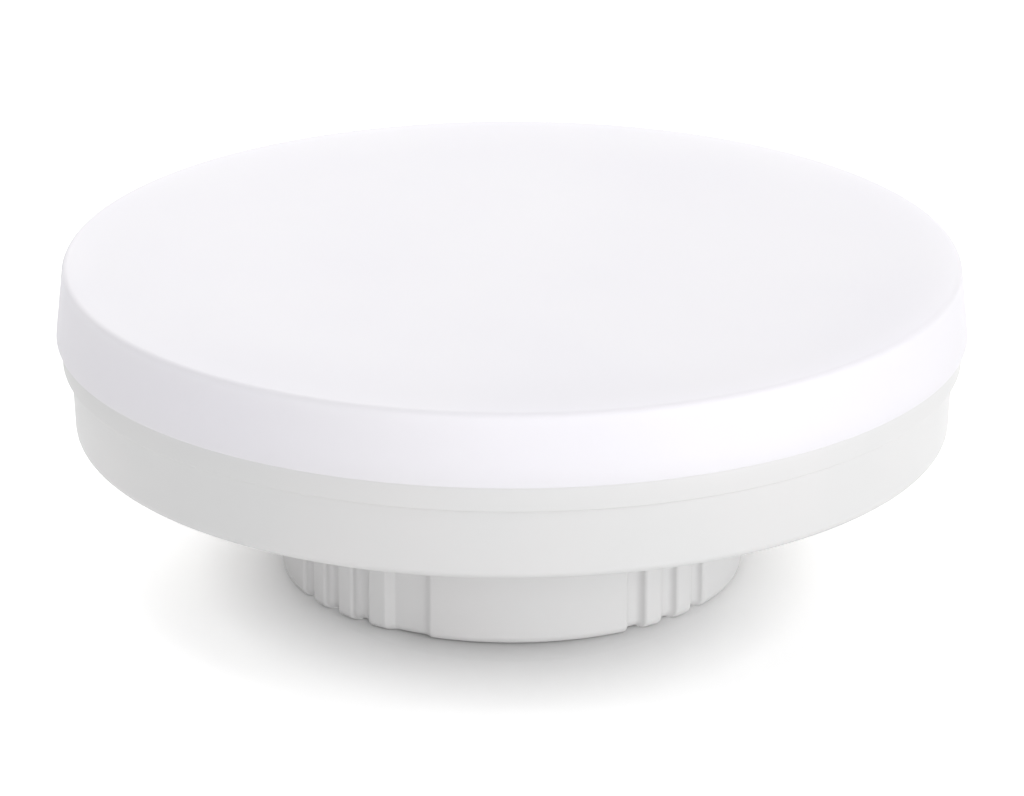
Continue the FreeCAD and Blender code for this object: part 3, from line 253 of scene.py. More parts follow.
def face_height(reach):
    """Height of the face at a reach from the axis.

    The dome is CROWN - rise (r / b)^2 out to b, where the border starts. From there the
    slope goes on from the dome's, 2 rise / b, and grows evenly, so that the border ends
    exactly its drop lower.
    """
    start = LAMP_RADIUS - SKIRT_DRAFT - BORDER_WIDTH
    dome = CROWN - DOME_RISE * (np.minimum(reach, start) / start) ** 2
    past = np.maximum(reach - start, 0)
    slope = 2 * DOME_RISE / start
    bend = (BORDER_DROP - slope * BORDER_WIDTH) / BORDER_WIDTH ** 2
    return dome - slope * past - bend * past ** 2


def cover_section():
    """Ceiling outwards, down the wall, round the snap ring, up the skirt and to the crown."""
    rim = LAMP_RADIUS - SKIRT_DRAFT
    start = rim - BORDER_WIDTH
    inner_rim = rim - COVER_WALL
    reach = np.concatenate([np.linspace(0, start, DOME_STEPS),
                            np.linspace(start, inner_rim - CEILING_START, 10)[1:]])
    ceiling = np.stack([reach, face_height(reach) - COVER_WALL], 1)
    reach = np.concatenate([np.linspace(rim - SHOULDER_START, start, 14),
                            np.linspace(start, 0, DOME_STEPS)[1:]])
    face = np.stack([reach, face_height(reach)], 1)
    ring_in, bead = SPIGOT_OUTER - SPIGOT_WALL, SEAM - BEAD_DROP
    wall = rounded([
        (*ceiling[-1], 0),
        (inner_rim, face_height(inner_rim) - COVER_WALL, CEILING_ROUNDING),
        (ring_in, SEAM + COVER_WALL, SPIGOT_FILLET),
        (ring_in, SEAM - SPIGOT_DEPTH, SPIGOT_ROUNDING),
        (SPIGOT_OUTER, SEAM - SPIGOT_DEPTH, SPIGOT_ROUNDING),
        (SPIGOT_OUTER, bead - BEAD_REACH, BEAD_FILLET),
        (SPIGOT_OUTER + BEAD_REACH, bead, BEAD_ROUNDING),
        (SPIGOT_OUTER, bead + BEAD_REACH, BEAD_FILLET),
        (SPIGOT_OUTER, SEAM, SEAT_FILLET),
        (LAMP_RADIUS, SEAM, LIP_ROUNDING),
        (rim, CROWN - DOME_RISE - BORDER_DROP, SHOULDER_ROUNDING),
        (*face[0], 0)], steps=8)
    return np.concatenate([ceiling, wall[1:-1], face])


new_piece("opal_cover", *closed_skin(turned(cover_section(), around=512)),
          node="diffuser", slot="opal_cover")

# %% [markdown]
# ## Outline of the boss
#
# Narrow upright flutes run down the boss in two groups of three, and a wide flat recess
# lies between them and the front. The set comes again after half a turn. Cutting them
# with booleans would leave long thin faces and hard lips. It is simpler to draw the
# boss's outline once, seen from above, with a small radius on every lip, and to carry
# that outline up the boss. Angles are counted from the front towards the right.

# %% Outline of the boss
FLUTE_HALF_WIDTH = 0.8
FLUTE_DEPTH = 0.8
FLUTE_CORNER = 0.45
FLUTE_LIP = 0.3
FLUTE_PITCH = 10.3
FLUTE_GROUPS = (42.5, -50.9)
RECESS_START = -20.4
RECESS_END = -32.8
RECESS_SLOPE = 2.3
RECESS_NEAR_SLOPE = 1.6
RECESS_DEPTH = 0.45
RECESS_FILLET = 0.3
RECESS_HOLLOW = 0.9
RECESS_NEAR_LIP = 0.5
PLAIN_STEP = 1.0


def spun(points, degrees):
    """Points (side, reach) seen from above, turned to an angle counted from the front."""
    angle = math.radians(degrees)
    side, reach = points[:, 0], points[:, 1]
    return np.stack([reach * math.sin(angle) + side * math.cos(angle),
                     -reach * math.cos(angle) + side * math.sin(angle)], 1)


def on_round(degrees, radius=BOSS_RADIUS):
    """Points on a circle at angles counted from the front."""
    angle = np.radians(np.atleast_1d(degrees))
    return np.stack([radius * np.sin(angle), -radius * np.cos(angle)], 1)


def flute_points():
    """One flute, from the round on its left to the round on its right."""
    mouth = math.sqrt(BOSS_RADIUS ** 2 - FLUTE_HALF_WIDTH ** 2)
    floor = BOSS_RADIUS - FLUTE_DEPTH
    half = FLUTE_HALF_WIDTH
    start = math.sqrt(BOSS_RADIUS ** 2 - (2 * half) ** 2)
    return rounded([(-2 * half, start, 0), (-half, mouth, FLUTE_LIP),
                    (-half, floor, FLUTE_CORNER), (half, floor, FLUTE_CORNER),
                    (half, mouth, FLUTE_LIP), (2 * half, start, 0)], steps=7)


def recess_points():
    """The wide recess: a short slope on its far side and a soft hollow on its near side."""
    floor = BOSS_RADIUS - RECESS_DEPTH
    flat = on_round(np.linspace(RECESS_END + RECESS_SLOPE, RECESS_START - RECESS_NEAR_SLOPE, 8),
                    floor)
    corners = [(*on_round(RECESS_END - 1)[0], 0), (*on_round(RECESS_END)[0], FLUTE_LIP),
               (*flat[0], RECESS_FILLET), *[(*point, 0) for point in flat[1:-1]],
               (*flat[-1], RECESS_HOLLOW), (*on_round(RECESS_START)[0], RECESS_NEAR_LIP),
               (*on_round(RECESS_START + 1)[0], 0)]
    return rounded(corners)


def boss_outline():
    """The whole outline, counterclockwise from above, without a doubled point."""
    cuts = [(RECESS_END - 1, RECESS_START + 1, recess_points())]
    flute = flute_points()
    flute_reach = math.degrees(math.asin(2 * FLUTE_HALF_WIDTH / BOSS_RADIUS))
    for group in FLUTE_GROUPS:
        for shift in (-1, 0, 1):
            middle = group + shift * FLUTE_PITCH
            cuts.append((middle - flute_reach, middle + flute_reach, spun(flute, middle)))
    cuts.sort(key=lambda cut: cut[0])
    half_turn = []
    for number, (start, end, points) in enumerate(cuts):
        following = cuts[number + 1][0] if number + 1 < len(cuts) else cuts[0][0] + 180
        plain = np.arange(end + PLAIN_STEP, following - PLAIN_STEP / 2, PLAIN_STEP)
        half_turn += [points, on_round(plain)]
    half_turn = np.concatenate(half_turn)
    return np.concatenate([half_turn, -half_turn])


OUTLINE = boss_outline()
REACH = np.hypot(*OUTLINE.T)
print(f"boss outline: {len(OUTLINE)} points, reach {REACH.min():.2f} to {REACH.max():.2f}")

# %% [markdown]
# ## Moulded housing
#
# The housing is one moulding: boss, ring-shaped underside, leaning wall and band. It
# could be two turned pieces pushed together, but then the line where they meet would be
# an intersection and not an edge. One grid does both. On the boss the whole outline moves
# in towards the axis as the foot's rounding does, so the rounding follows every flute, as a
# moulding tool leaves it. Above the boss the same columns fan out to plain circles.

# %% Skin of the housing
BOSS_ROUNDING = 0.8
FOOT_ROUNDING = 0.8
STEP = SEAM - 2.2
WALL_TOP = BAND_RADIUS - 0.7
WALL_FOOT = WALL_TOP - 0.3
BAND_INNER = BAND_RADIUS - 1.7
LEDGE = 17.4
CASING_INNER = BAND_INNER - 0.8
FLOOR_TOP = UNDERSIDE + 1.8
BOSS_INNER = BOSS_RADIUS - 2.7
BOSS_FLOOR = 1.8
GROOVE = BEAD_REACH + 0.1
BOSS_LEVELS = (3.0, 6.0, 9.0, 11.0, UNDERSIDE)
FOOT_SHARES = (0.0, 0.3, 0.6, 0.8, 0.93)
RING_REACHES = (20.2, 27.0)
BOSS_FLOOR_RING = 8.0
TOWARD = OUTLINE / REACH[:, None]


def boss_rings():
    """From the middle of the foot, round its edge and up to the underside.

    reach(angle, ring) = outline(angle) - r (1 - sin t) on the foot's rounding, with
    t from 0 at the foot to a quarter turn at the wall.
    """
    turn = np.linspace(0, math.pi / 2, 10)
    inward = BOSS_ROUNDING * (1 - np.sin(turn))
    edge = np.stack([inward, BOSS_ROUNDING * (1 - np.cos(turn))], 1)
    rise = [(0.0, level) for level in BOSS_LEVELS]
    section = np.concatenate([edge, rise])
    foot = np.array(FOOT_SHARES)[:, None] * (REACH - BOSS_ROUNDING)
    reach = np.concatenate([foot, REACH - section[:, :1]])
    level = np.concatenate([np.zeros(len(foot)), section[:, 1]])[:, None]
    return np.stack([reach * TOWARD[:, 0], reach * TOWARD[:, 1], level + 0 * reach], -1)


def casing_rings():
    """Underside, wall, step, band, snap groove, ledge, floor and the inside of the boss.

    The columns stand at the outline's own angles, evened out over five neighbours, because
    the outline goes back a hair in its upright flute walls.
    """
    bead = SEAM - BEAD_DROP
    section = rounded([
        *[(reach, UNDERSIDE, 0) for reach in RING_REACHES],
        (WALL_FOOT, UNDERSIDE, FOOT_ROUNDING),
        (WALL_TOP, STEP, 0.1), (BAND_RADIUS, STEP, 0.15), (BAND_RADIUS, SEAM, 0.12),
        (BAND_INNER, SEAM, 0.12), (BAND_INNER, bead + GROOVE, 0.03),
        (BAND_INNER + GROOVE, bead, 0.05), (BAND_INNER, bead - GROOVE, 0.03),
        (BAND_INNER, LEDGE, 0.1), (CASING_INNER, LEDGE, 0.15),
        (CASING_INNER, FLOOR_TOP, 0.4), (BOSS_INNER, FLOOR_TOP, 0.3),
        (BOSS_INNER, BOSS_FLOOR, 0.4), (BOSS_FLOOR_RING, BOSS_FLOOR, 0),
        (0.0, BOSS_FLOOR, 0)])
    angle = np.sort(np.unwrap(np.arctan2(OUTLINE[:, 1], OUTLINE[:, 0])))
    wide = np.concatenate([angle[-2:] - 2 * math.pi, angle, angle[:2] + 2 * math.pi])
    angle = np.convolve(wide, np.full(5, 0.2), mode="valid")
    reach, level = section[:, :1], section[:, 1:]
    return np.stack([reach * np.cos(angle), reach * np.sin(angle), level + 0 * angle], -1)


new_piece("moulded_housing", *closed_skin(np.concatenate([boss_rings(), casing_rings()])),
          node="housing", slot="white_housing", sharp=35)

# %% [markdown]
# ## Contact pins
#
# Two nickel-plated pins stand beside the boss. They are turned on a lathe, so they are
# turned here too: head, neck, collar, shank and the end that is spread over the solder
# tag. Both pins share one section.

# %% Contact pins
HEAD_RADIUS = 2.5
HEAD_TOP = PIN_FOOT + 2.3
NECK_RADIUS = 1.6
COLLAR_FOOT = UNDERSIDE - 0.7
SHANK_RADIUS = 1.3
TAG_TOP = FLOOR_TOP + 0.5
RIVET_RADIUS = 2.0
RIVET_TOP = TAG_TOP + 0.6
NECK_FILLET = 0.12
PIN_EDGE = 0.05

pin_section = rounded([
    (0, PIN_FOOT, 0), (HEAD_RADIUS, PIN_FOOT, 0.5), (HEAD_RADIUS, HEAD_TOP, 0.25),
    (NECK_RADIUS, HEAD_TOP, NECK_FILLET), (NECK_RADIUS, COLLAR_FOOT, NECK_FILLET),
    (COLLAR_RADIUS, COLLAR_FOOT, 0.15), (COLLAR_RADIUS, UNDERSIDE, PIN_EDGE),
    (SHANK_RADIUS, UNDERSIDE, PIN_EDGE), (SHANK_RADIUS, TAG_TOP, PIN_EDGE),
    (RIVET_RADIUS, TAG_TOP, PIN_EDGE), (RIVET_RADIUS, RIVET_TOP, 0.3), (0, RIVET_TOP, 0)],
    steps=5)
for side, sign in (("right", 1), ("left", -1)):
    new_piece("turned_pin_" + side,
              *closed_skin(turned(pin_section, 96, (sign * PIN_PLACE, 0.0))),
              node="contact_pin_" + side, slot="contact_metal")

# %% [markdown]
# ## Wound coils
#
# A solid ring would do for a coil seen from far off, but a real winding is wire beside
# wire, and its ridges catch the light one by one. A helix with hundreds of turns costs
# many faces; since the wire hardly climbs, a stack of level rings looks the same. The
# outer side of the section is a row of round ridges and the rest is straight.


# %% Windings
RIDGE_ANGLES = (-70, -35, 0, 35, 70)
COIL_WIRES = {"inductor_winding": 0.32, "choke_winding": 0.22}


def coil_section(inner, outer, foot, top, wire):
    """Up the wires on the outside, then back down the straight inner side.

    The ridge of wire number n is (outer - w + w cos t, foot + (2 n + 1) w + w sin t) with
    half the wire's thickness w and t from -70 to 70 degrees.
    """
    count = round((top - foot) / wire)
    half = (top - foot) / count / 2
    number, angle = np.meshgrid(np.arange(count), np.radians(RIDGE_ANGLES), indexing="ij")
    reach = outer - half + half * np.cos(angle)
    level = foot + (2 * number + 1) * half + half * np.sin(angle)
    ridges = np.stack([reach.ravel(), level.ravel()], 1)
    return np.concatenate([ridges, [(inner, top), (inner, foot)]])


def wind(node, name, wire):
    """A coil in the place of a solid ring, which gives its axis, reach and height."""
    low, high = box_mm(node)
    centre = (low + high)[:2] / 2
    ring = bpy.data.objects[node].data
    spots = np.empty(3 * len(ring.vertices), np.float32)
    ring.vertices.foreach_get("co", spots)
    offsets = spots.reshape(-1, 3)[:, :2] / MM - centre
    inner = np.hypot(*offsets.T).min()
    section = coil_section(inner, high[0] - centre[0], low[2], high[2], wire)
    rings = turned(section, around=120, centre=centre)
    new_piece(name, *looped_skin(rings), node=node, slot="copper_wire")


for node, wire in COIL_WIRES.items():
    wind(node, node.split("_")[0] + "_coil", wire)

# %% [markdown]
# ## Camera
#
# The picture's camera stands 20 degrees above the horizon with a long lens, so the rings
# of the lamp are flat ellipses. It was fitted to the seam, the step, the underside and
# the boss: it stands 600 mm off and aims at a point on the axis 14.3 mm above the floor.

# %% Camera
CAMERA_RISE = math.radians(20.17)
CAMERA_REACH = 600.0
AIM_HEIGHT = 14.33
SENSOR = 36.0
FOCAL_PIXELS = 7257.6
PICTURE_WIDTH = 1024


def look_at(thing, place, aim):
    """Puts a camera or lamp at a place in millimetres and turns its -Z to the aim."""
    place, aim = Vector(place) * MM, Vector(aim) * MM
    thing.location = place
    thing.rotation_euler = (aim - place).to_track_quat("-Z", "Y").to_euler()


camera_data = bpy.data.cameras.new("studio_camera")
camera_data.sensor_width = SENSOR
camera_data.lens = FOCAL_PIXELS / PICTURE_WIDTH * SENSOR
camera_data.clip_start = 0.01
camera = bpy.data.objects.new("studio_camera", camera_data)
bpy.context.scene.collection.objects.link(camera)
bpy.context.scene.camera = camera
look_at(camera, (0, -CAMERA_REACH * math.cos(CAMERA_RISE),
                 AIM_HEIGHT + CAMERA_REACH * math.sin(CAMERA_RISE)), (0, 0, AIM_HEIGHT))
print(f"lens {camera_data.lens:.1f} mm")

# %% [markdown]
# ## Finishes: the two shared groups
#
# Most of this lamp is moulded plastic, and much of the rest is metal that was turned,
# rolled or drawn. Each kind has one look that returns with other colours: plastic has a
# satin grain and a colour that drifts a little, and metal has fine marks along the way it
# was worked. A node group holds each look once, and every material gives it its own
# values. Noise is used and not an image, so the grain is as fine as wanted close up.


# %% Building node groups and materials
def srgb(red, green, blue):
    """A colour as a screen shows it, 0 to 255, made linear for the shader."""
    share = np.array([red, green, blue]) / 255
    low = share / 12.92
    high = ((share + 0.055) / 1.055) ** 2.4
    return (*np.where(share <= 0.04045, low, high).tolist(), 1.0)


def new_group(name, inputs, outputs):
    """An empty shader group with named sockets, and its two end nodes."""
    group = bpy.data.node_groups.new(name, "ShaderNodeTree")
    for socket, kind, value in inputs:
        made = group.interface.new_socket(name=socket, in_out="INPUT", socket_type=kind)
        if value is not None:
            made.default_value = value
    for socket, kind in outputs:
        group.interface.new_socket(name=socket, in_out="OUTPUT", socket_type=kind)
    return group, group.nodes.new("NodeGroupInput"), group.nodes.new("NodeGroupOutput")


def noise_node(tree, detail, roughness=0.5):
    """A three-dimensional noise."""
    node = tree.nodes.new("ShaderNodeTexNoise")
    node.inputs["Detail"].default_value = detail
    node.inputs["Roughness"].default_value = roughness
    return node


def colour_mixer(tree):
    """A colour mixer's sockets: share, first colour, second colour, result."""
    node = tree.nodes.new("ShaderNodeMix")
    node.data_type = "RGBA"
    share = [s for s in node.inputs if s.name == "Factor" and s.type == "VALUE"][0]
    first = [s for s in node.inputs if s.name == "A" and s.type == "RGBA"][0]
    second = [s for s in node.inputs if s.name == "B" and s.type == "RGBA"][0]
    result = [s for s in node.outputs if s.type == "RGBA"][0]
    return share, first, second, result


def spread(tree, value, low, high, to_low, to_high):
    """A value's range carried linearly to another; the far ends may be sockets."""
    node = tree.nodes.new("ShaderNodeMapRange")
    tree.links.new(value, node.inputs["Value"])
    ends = {"From Min": low, "From Max": high, "To Min": to_low, "To Max": to_high}
    for name, end in ends.items():
        if isinstance(end, bpy.types.NodeSocket):
            tree.links.new(end, node.inputs[name])
        else:
            node.inputs[name].default_value = end
    return node.outputs["Result"]


print(f"a screen's middle grey is {srgb(128, 128, 128)[0]:.3f} in linear light")


# %% The moulded group
DRIFT_TONES = (0.35, 0.65)
DRIFT_GLOSS = (0.3, 0.7)


def moulded_group():
    """Satin plastic: colour drifts slowly between two tones, roughness goes with it, and a
    fine grain gives the height."""
    group, source, sink = new_group(
        "moulded_surface",
        [("Vector", "NodeSocketVector", None), ("Tone", "NodeSocketColor", None),
         ("Second Tone", "NodeSocketColor", None), ("Drift Scale", "NodeSocketFloat", 60.0),
         ("Grain Scale", "NodeSocketFloat", 4000.0), ("Smoothest", "NodeSocketFloat", 0.35),
         ("Roughest", "NodeSocketFloat", 0.45)],
        [("Colour", "NodeSocketColor"), ("Roughness", "NodeSocketFloat"),
         ("Height", "NodeSocketFloat")])
    link = group.links.new
    drift = noise_node(group, 2.0)
    grain = noise_node(group, 3.0, 0.6)
    for node, scale in ((drift, "Drift Scale"), (grain, "Grain Scale")):
        link(source.outputs["Vector"], node.inputs["Vector"])
        link(source.outputs[scale], node.inputs["Scale"])
    share, first, second, result = colour_mixer(group)
    link(spread(group, drift.outputs["Fac"], *DRIFT_TONES, 0.0, 1.0), share)
    link(source.outputs["Tone"], first)
    link(source.outputs["Second Tone"], second)
    link(result, sink.inputs["Colour"])
    link(spread(group, drift.outputs["Fac"], *DRIFT_GLOSS, source.outputs["Smoothest"],
                source.outputs["Roughest"]), sink.inputs["Roughness"])
    link(grain.outputs["Fac"], sink.inputs["Height"])
    return group


MOULDED = moulded_group()
print(MOULDED.name, "has", len(MOULDED.nodes), "nodes")


# %% The worked-metal group
MARK_SCALE = 1000.0
MARK_GLOSS = (0.3, 0.7)
PATCH_SCALE = 250.0
PATCH_TONES = (0.4, 0.7)


def worked_group():
    """Worked metal: a noise stretched along the way of working gives height and gloss, and
    a slow noise dulls patches of it, as fingers and air do."""
    group, source, sink = new_group(
        "worked_metal",
        [("Vector", "NodeSocketVector", None), ("Tone", "NodeSocketColor", None),
         ("Dull Tone", "NodeSocketColor", None), ("Stretch", "NodeSocketVector", (1, 1, 1)),
         ("Smoothest", "NodeSocketFloat", 0.2), ("Roughest", "NodeSocketFloat", 0.35)],
        [("Colour", "NodeSocketColor"), ("Roughness", "NodeSocketFloat"),
         ("Height", "NodeSocketFloat")])
    link = group.links.new
    stretch = group.nodes.new("ShaderNodeVectorMath")
    stretch.operation = "MULTIPLY"
    link(source.outputs["Vector"], stretch.inputs[0])
    link(source.outputs["Stretch"], stretch.inputs[1])
    marks = noise_node(group, 4.0, 0.65)
    marks.inputs["Scale"].default_value = MARK_SCALE
    link(stretch.outputs["Vector"], marks.inputs["Vector"])
    patches = noise_node(group, 2.0)
    patches.inputs["Scale"].default_value = PATCH_SCALE
    link(source.outputs["Vector"], patches.inputs["Vector"])
    share, first, second, result = colour_mixer(group)
    link(spread(group, patches.outputs["Fac"], *PATCH_TONES, 0.0, 1.0), share)
    link(source.outputs["Tone"], first)
    link(source.outputs["Dull Tone"], second)
    link(result, sink.inputs["Colour"])
    link(spread(group, marks.outputs["Fac"], *MARK_GLOSS, source.outputs["Smoothest"],
                source.outputs["Roughest"]), sink.inputs["Roughness"])
    link(marks.outputs["Fac"], sink.inputs["Height"])
    return group


WORKED = worked_group()
print(WORKED.name, "has", len(WORKED.nodes), "nodes")

# %% [markdown]
# ## Finishes: one material for each slot
#
# A material holds its own shader. What is the same all over, such as how far light goes
# into the opal plastic, is typed on the shader's sockets; only what changes over the
# surface comes through the group. The pattern reads Object coordinates, because every
# piece sits at the origin in real size, so a grain of a quarter of a millimetre is that
# size on each of them.


# %% A material round a shared group
def finish_with(name, group, values, relief, **shader):
    """A material: Object coordinates into the group, the group into the shader.

    relief is how deep the group's height is, in millimetres. Constants for the shader are
    given by name, with an underscore for each space.
    """
    material = bpy.data.materials.new(name)
    material.use_nodes = True
    tree = material.node_tree
    link = tree.links.new
    surface = tree.nodes["Principled BSDF"]
    place = tree.nodes.new("ShaderNodeTexCoord")
    look = tree.nodes.new("ShaderNodeGroup")
    look.node_tree = group
    link(place.outputs["Object"], look.inputs["Vector"])
    for socket, value in values.items():
        look.inputs[socket].default_value = value
    bump = tree.nodes.new("ShaderNodeBump")
    bump.inputs["Distance"].default_value = relief * MM
    bump.inputs["Strength"].default_value = 1.0
    link(look.outputs["Height"], bump.inputs["Height"])
    link(bump.outputs["Normal"], surface.inputs["Normal"])
    link(look.outputs["Colour"], surface.inputs["Base Color"])
    link(look.outputs["Roughness"], surface.inputs["Roughness"])
    for socket, value in shader.items():
        surface.inputs[socket.replace("_", " ")].default_value = value
    return material


def moulded(name, tone, second, smooth, rough, grain=4000.0, drift=60.0, relief=0.004,
            **shader):
    """Plastic, lacquer, rubber or ceramic."""
    values = {"Tone": srgb(*tone), "Second Tone": srgb(*second), "Drift Scale": drift,
              "Grain Scale": grain, "Smoothest": smooth, "Roughest": rough}
    return finish_with(name, MOULDED, values, relief, **shader)


def worked(name, tone, dull, smooth, rough, stretch, relief=0.003):
    """Metal that was turned, rolled or drawn."""
    values = {"Tone": srgb(*tone), "Dull Tone": srgb(*dull), "Stretch": stretch,
              "Smoothest": smooth, "Roughest": rough}
    return finish_with(name, WORKED, values, relief, Metallic=1.0)


FINISHES = {
    "opal_cover": moulded("opal_cover", (237, 235, 240), (236, 234, 240), 0.55, 0.57,
                          grain=5000.0, relief=0.0015, Subsurface_Weight=0.35,
                          Subsurface_Radius=(1, 1, 1), Subsurface_Scale=0.003, IOR=1.58),
    "white_housing": moulded("white_housing", (221, 220, 220), (219, 219, 219), 0.38, 0.46,
                             relief=0.003, IOR=1.5),
    "contact_metal": worked("contact_metal", (216, 213, 205), (196, 192, 182), 0.16, 0.3,
                            (1, 1, 8)),
    "tag_metal": worked("tag_metal", (205, 201, 186), (184, 168, 120), 0.25, 0.42, (1, 6, 6)),
    "spreader_metal": worked("spreader_metal", (206, 208, 210), (190, 192, 195), 0.28, 0.45,
                             (0.3, 5, 5)),
    "screw_steel": worked("screw_steel", (190, 192, 195), (160, 160, 158), 0.25, 0.4,
                          (3, 3, 6)),
    "pad_rubber": moulded("pad_rubber", (150, 163, 176), (142, 155, 169), 0.7, 0.85,
                          relief=0.02),
    "lamp_board_white": moulded("lamp_board_white", (238, 238, 233), (232, 232, 228), 0.3,
                                0.4, grain=2500.0, relief=0.004, Coat_Weight=0.3),
    "chip_yellow": moulded("chip_yellow", (242, 240, 232), (236, 234, 224), 0.35, 0.5),
    "driver_board_green": moulded("driver_board_green", (26, 92, 54), (20, 78, 46), 0.25,
                                  0.35, grain=1600.0, drift=300.0, relief=0.012,
                                  Coat_Weight=0.4),
    "can_sleeve": moulded("can_sleeve", (26, 30, 44), (20, 23, 36), 0.25, 0.36,
                          Coat_Weight=0.4),
    "film_yellow": moulded("film_yellow", (214, 172, 48), (204, 160, 40), 0.35, 0.5,
                           relief=0.006),
    "ferrite": moulded("ferrite", (54, 53, 55), (40, 40, 42), 0.55, 0.75, grain=2500.0,
                       drift=900.0, relief=0.015),
    "bobbin_plastic": moulded("bobbin_plastic", (28, 28, 29), (22, 22, 23), 0.4, 0.55),
    "copper_wire": worked("copper_wire", (196, 112, 62), (168, 88, 44), 0.2, 0.34, (2, 2, 2)),
    "varistor_blue": moulded("varistor_blue", (34, 78, 148), (28, 66, 130), 0.18, 0.3,
                             grain=700.0, relief=0.03, Coat_Weight=0.5),
    "resistor_blue": moulded("resistor_blue", (96, 158, 186), (86, 146, 176), 0.25, 0.38,
                             Coat_Weight=0.3),
    "chip_black": moulded("chip_black", (30, 30, 31), (24, 24, 25), 0.5, 0.65, relief=0.008),
    "ceramic_tan": moulded("ceramic_tan", (168, 138, 102), (154, 124, 90), 0.45, 0.6,
                           drift=900.0),
    "wire_black": moulded("wire_black", (28, 28, 29), (22, 22, 23), 0.35, 0.5),
    "wire_red": moulded("wire_red", (178, 34, 30), (162, 28, 25), 0.35, 0.5),
}
print(len(FINISHES), "finishes")

# %% [markdown]
# ## Every piece gets its finish
#
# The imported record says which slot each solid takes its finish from, so the solids are
# dressed in a loop. The new skins know their slot too, from the call that made them.

# %% Assign the finishes
SLOT_OF = {part["node"]: part["material_slot"] for part in frame["record"]["subparts"]}
for node, thing in NODES.items():
    thing.data.materials.clear()
    thing.data.materials.append(FINISHES[SLOT_OF[node]])
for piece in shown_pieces():
    if not piece.data.materials:
        piece.data.materials.append(FINISHES[piece["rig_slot"]])

# %% [markdown]
# ## Floor
#
# The lamp stands on a white sweep that runs out to pure white, with a soft shadow below
# the disc. More light would bleach the lamp itself, so the floor's own colour is lifted
# instead, and only for what the camera sees of it. What bounces up on to the lamp stays
# the light of plain white paper. Seen from below, the floor is left out, and a hole just
# as large as the boss's flat foot lets a lamp light it.
#
# The photograph's shadow is darkest where the boss stands and is gone at the disc's edge.
# An ambient occlusion node could tell how much of the sky a point of the floor sees, but
# it leaves grain. The disc and its boss are round, so the reach from the axis tells the
# same: the seen colour falls off towards the boss along a curve of it. The shadow in the
# photograph is narrower at the sides than at the front, so the sideways part of the reach
# counts for more.

# %% Floor
FLOOR_REACH = 450.0
FLOOR_GAP = 0.02
FLOOR_SEEN = 1.62
FLOOR_PAPER = 0.95
SHADE_START = BOSS_RADIUS - 1.6
SHADE_END = 33.0
SHADE_CURVE = 0.52
SHADE_DEPTH = 0.12
SHADE_NARROW = 1.25


def is_seen(tree):
    """1 where a ray comes from the camera, straight or by a mirror or glass, else 0."""
    path = tree.nodes.new("ShaderNodeLightPath")
    total = path.outputs["Is Camera Ray"]
    for name in ("Is Glossy Ray", "Is Transmission Ray"):
        adder = tree.nodes.new("ShaderNodeMath")
        adder.operation = "MAXIMUM"
        tree.links.new(total, adder.inputs[0])
        tree.links.new(path.outputs[name], adder.inputs[1])
        total = adder.outputs[0]
    return total


def floor_material():
    """White paper for bounces; for the camera, paper with a painted shadow; clear from below.
    """
    material = bpy.data.materials.new("white_sweep")
    material.use_nodes = True
    tree = material.node_tree
    tree.nodes.clear()
    link = tree.links.new
    share, first, second, result = colour_mixer(tree)
    link(is_seen(tree), share)
    first.default_value = (FLOOR_PAPER, FLOOR_PAPER, FLOOR_PAPER, 1)
    # Painted shadow: for the camera, the floor's colour darkens towards the boss along a curve
    # of the reach from the axis, with the sideways part counted more. It adds to the real
    # shadow that the lamps cast.
    place = tree.nodes.new("ShaderNodeTexCoord")
    reach = tree.nodes.new("ShaderNodeVectorMath")
    reach.operation = "LENGTH"
    squeeze = tree.nodes.new("ShaderNodeVectorMath")
    squeeze.operation = "MULTIPLY"
    squeeze.inputs[1].default_value = (SHADE_NARROW, 1, 1)
    link(place.outputs["Object"], squeeze.inputs[0])
    link(squeeze.outputs["Vector"], reach.inputs[0])
    curve = tree.nodes.new("ShaderNodeMath")
    curve.operation = "POWER"
    curve.inputs[1].default_value = SHADE_CURVE
    link(spread(tree, reach.outputs["Value"], SHADE_START * MM, SHADE_END * MM, 0.0, 1.0),
         curve.inputs[0])
    link(spread(tree, curve.outputs[0], 0.0, 1.0, SHADE_DEPTH * FLOOR_SEEN, FLOOR_SEEN),
         second)
    paper = tree.nodes.new("ShaderNodeBsdfDiffuse")
    link(result, paper.inputs["Color"])
    clear = tree.nodes.new("ShaderNodeBsdfTransparent")
    side = tree.nodes.new("ShaderNodeNewGeometry")
    either = tree.nodes.new("ShaderNodeMixShader")
    link(side.outputs["Backfacing"], either.inputs["Fac"])
    link(paper.outputs["BSDF"], either.inputs[1])
    link(clear.outputs["BSDF"], either.inputs[2])
    output = tree.nodes.new("ShaderNodeOutputMaterial")
    link(either.outputs["Shader"], output.inputs["Surface"])
    return material


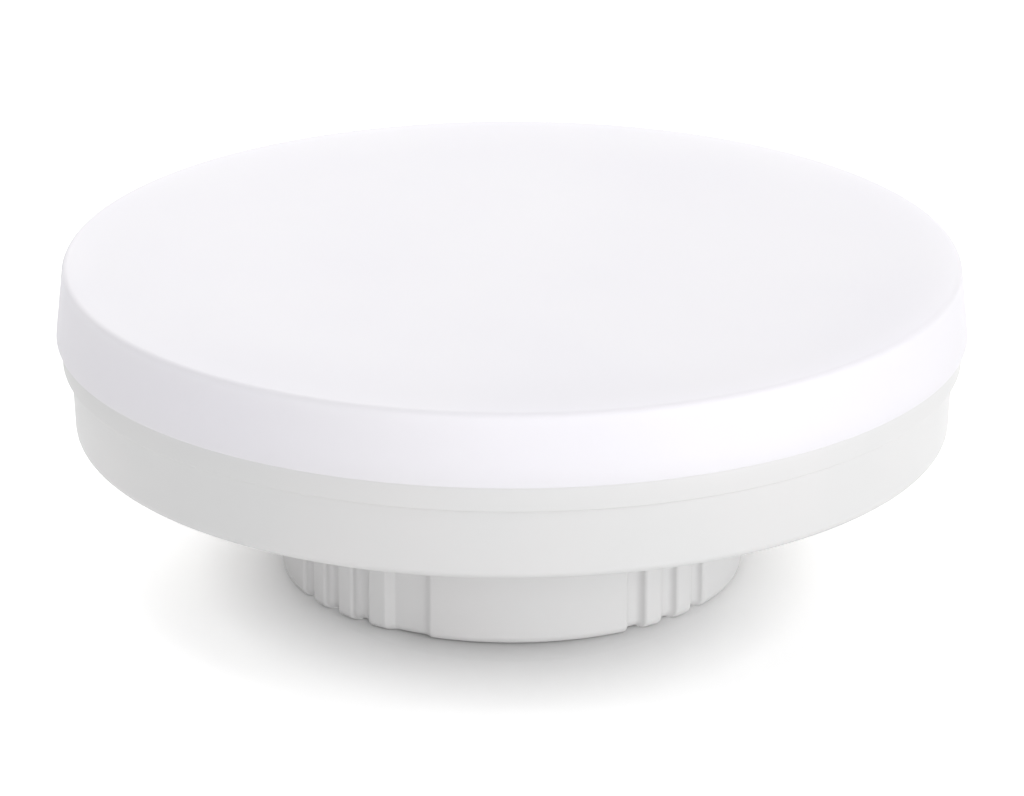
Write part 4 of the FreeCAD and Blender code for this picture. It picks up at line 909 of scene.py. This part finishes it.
edges = np.concatenate([TOWARD * FLOOR_REACH, TOWARD * (REACH[:, None] - BOSS_ROUNDING)])
level = np.full((len(edges), 1), -FLOOR_GAP)
floor_mesh = bpy.data.meshes.new("floor")
floor_mesh.from_pydata((np.concatenate([edges, level], 1) * MM).tolist(), [],
                       ring_faces(2, len(OUTLINE)).tolist())
floor_mesh.materials.append(floor_material())
floor = bpy.data.objects.new("floor", floor_mesh)
bpy.context.scene.collection.objects.link(floor)
print(f"floor {2 * FLOOR_REACH * MM:.1f} m wide")

# %% [markdown]
# ## Light
#
# The picture was taken in a white tent: light comes from everywhere, a little more from
# the right. The world gives the even part and large soft lamps give the rest. A lamp's
# power is worked out from the level that it should give a white sheet facing it, where a
# level of 1 is what a world of strength 1 gives.

# %% World and lamps
WORLD_LEVEL = 0.46
LAMPS = {
    # name: (degrees from the front to the right, height in degrees, distance, size, level)
    "key_right": (60, 13, 1100, 800, 0.42),
    "front": (0, 12, 1300, 800, 0.3),
    "back_left": (-158, 35, 1100, 900, 0.33),
    "back_right": (172, 20, 1300, 1000, 0.2),
    "top": (0, 85, 1100, 700, 0.1),
    "below": (0, -89, 1100, 700, 0.4),
}

world = bpy.data.worlds.new("white_tent")
world.use_nodes = True
bpy.context.scene.world = world
sky = world.node_tree
background = sky.nodes["Background"]
background.inputs["Color"].default_value = (1, 1, 1, 1)
sky.links.new(spread(sky, is_seen(sky), 0.0, 1.0, WORLD_LEVEL, 1.0),
              background.inputs["Strength"])

for name, (azimuth, height, distance, size, level) in LAMPS.items():
    lamp_data = bpy.data.lights.new(name, "AREA")
    lamp_data.shape = "DISK"
    lamp_data.size = size * MM
    lamp_data.energy = level * (math.pi * distance * MM) ** 2
    lamp = bpy.data.objects.new(name, lamp_data)
    lamp.visible_camera = False
    bpy.context.scene.collection.objects.link(lamp)
    side, up = math.radians(azimuth), math.radians(height)
    look_at(lamp, (distance * math.sin(side) * math.cos(up),
                   -distance * math.cos(side) * math.cos(up), distance * math.sin(up)),
            (0, 0, AIM_HEIGHT))
    print(f"{name}: {lamp_data.energy:.2f} W")

# %% [markdown]
# ## View settings
#
# The plain Standard view shows a colour as it is written.

# %% Finish
bpy.context.scene.view_settings.view_transform = "Standard"
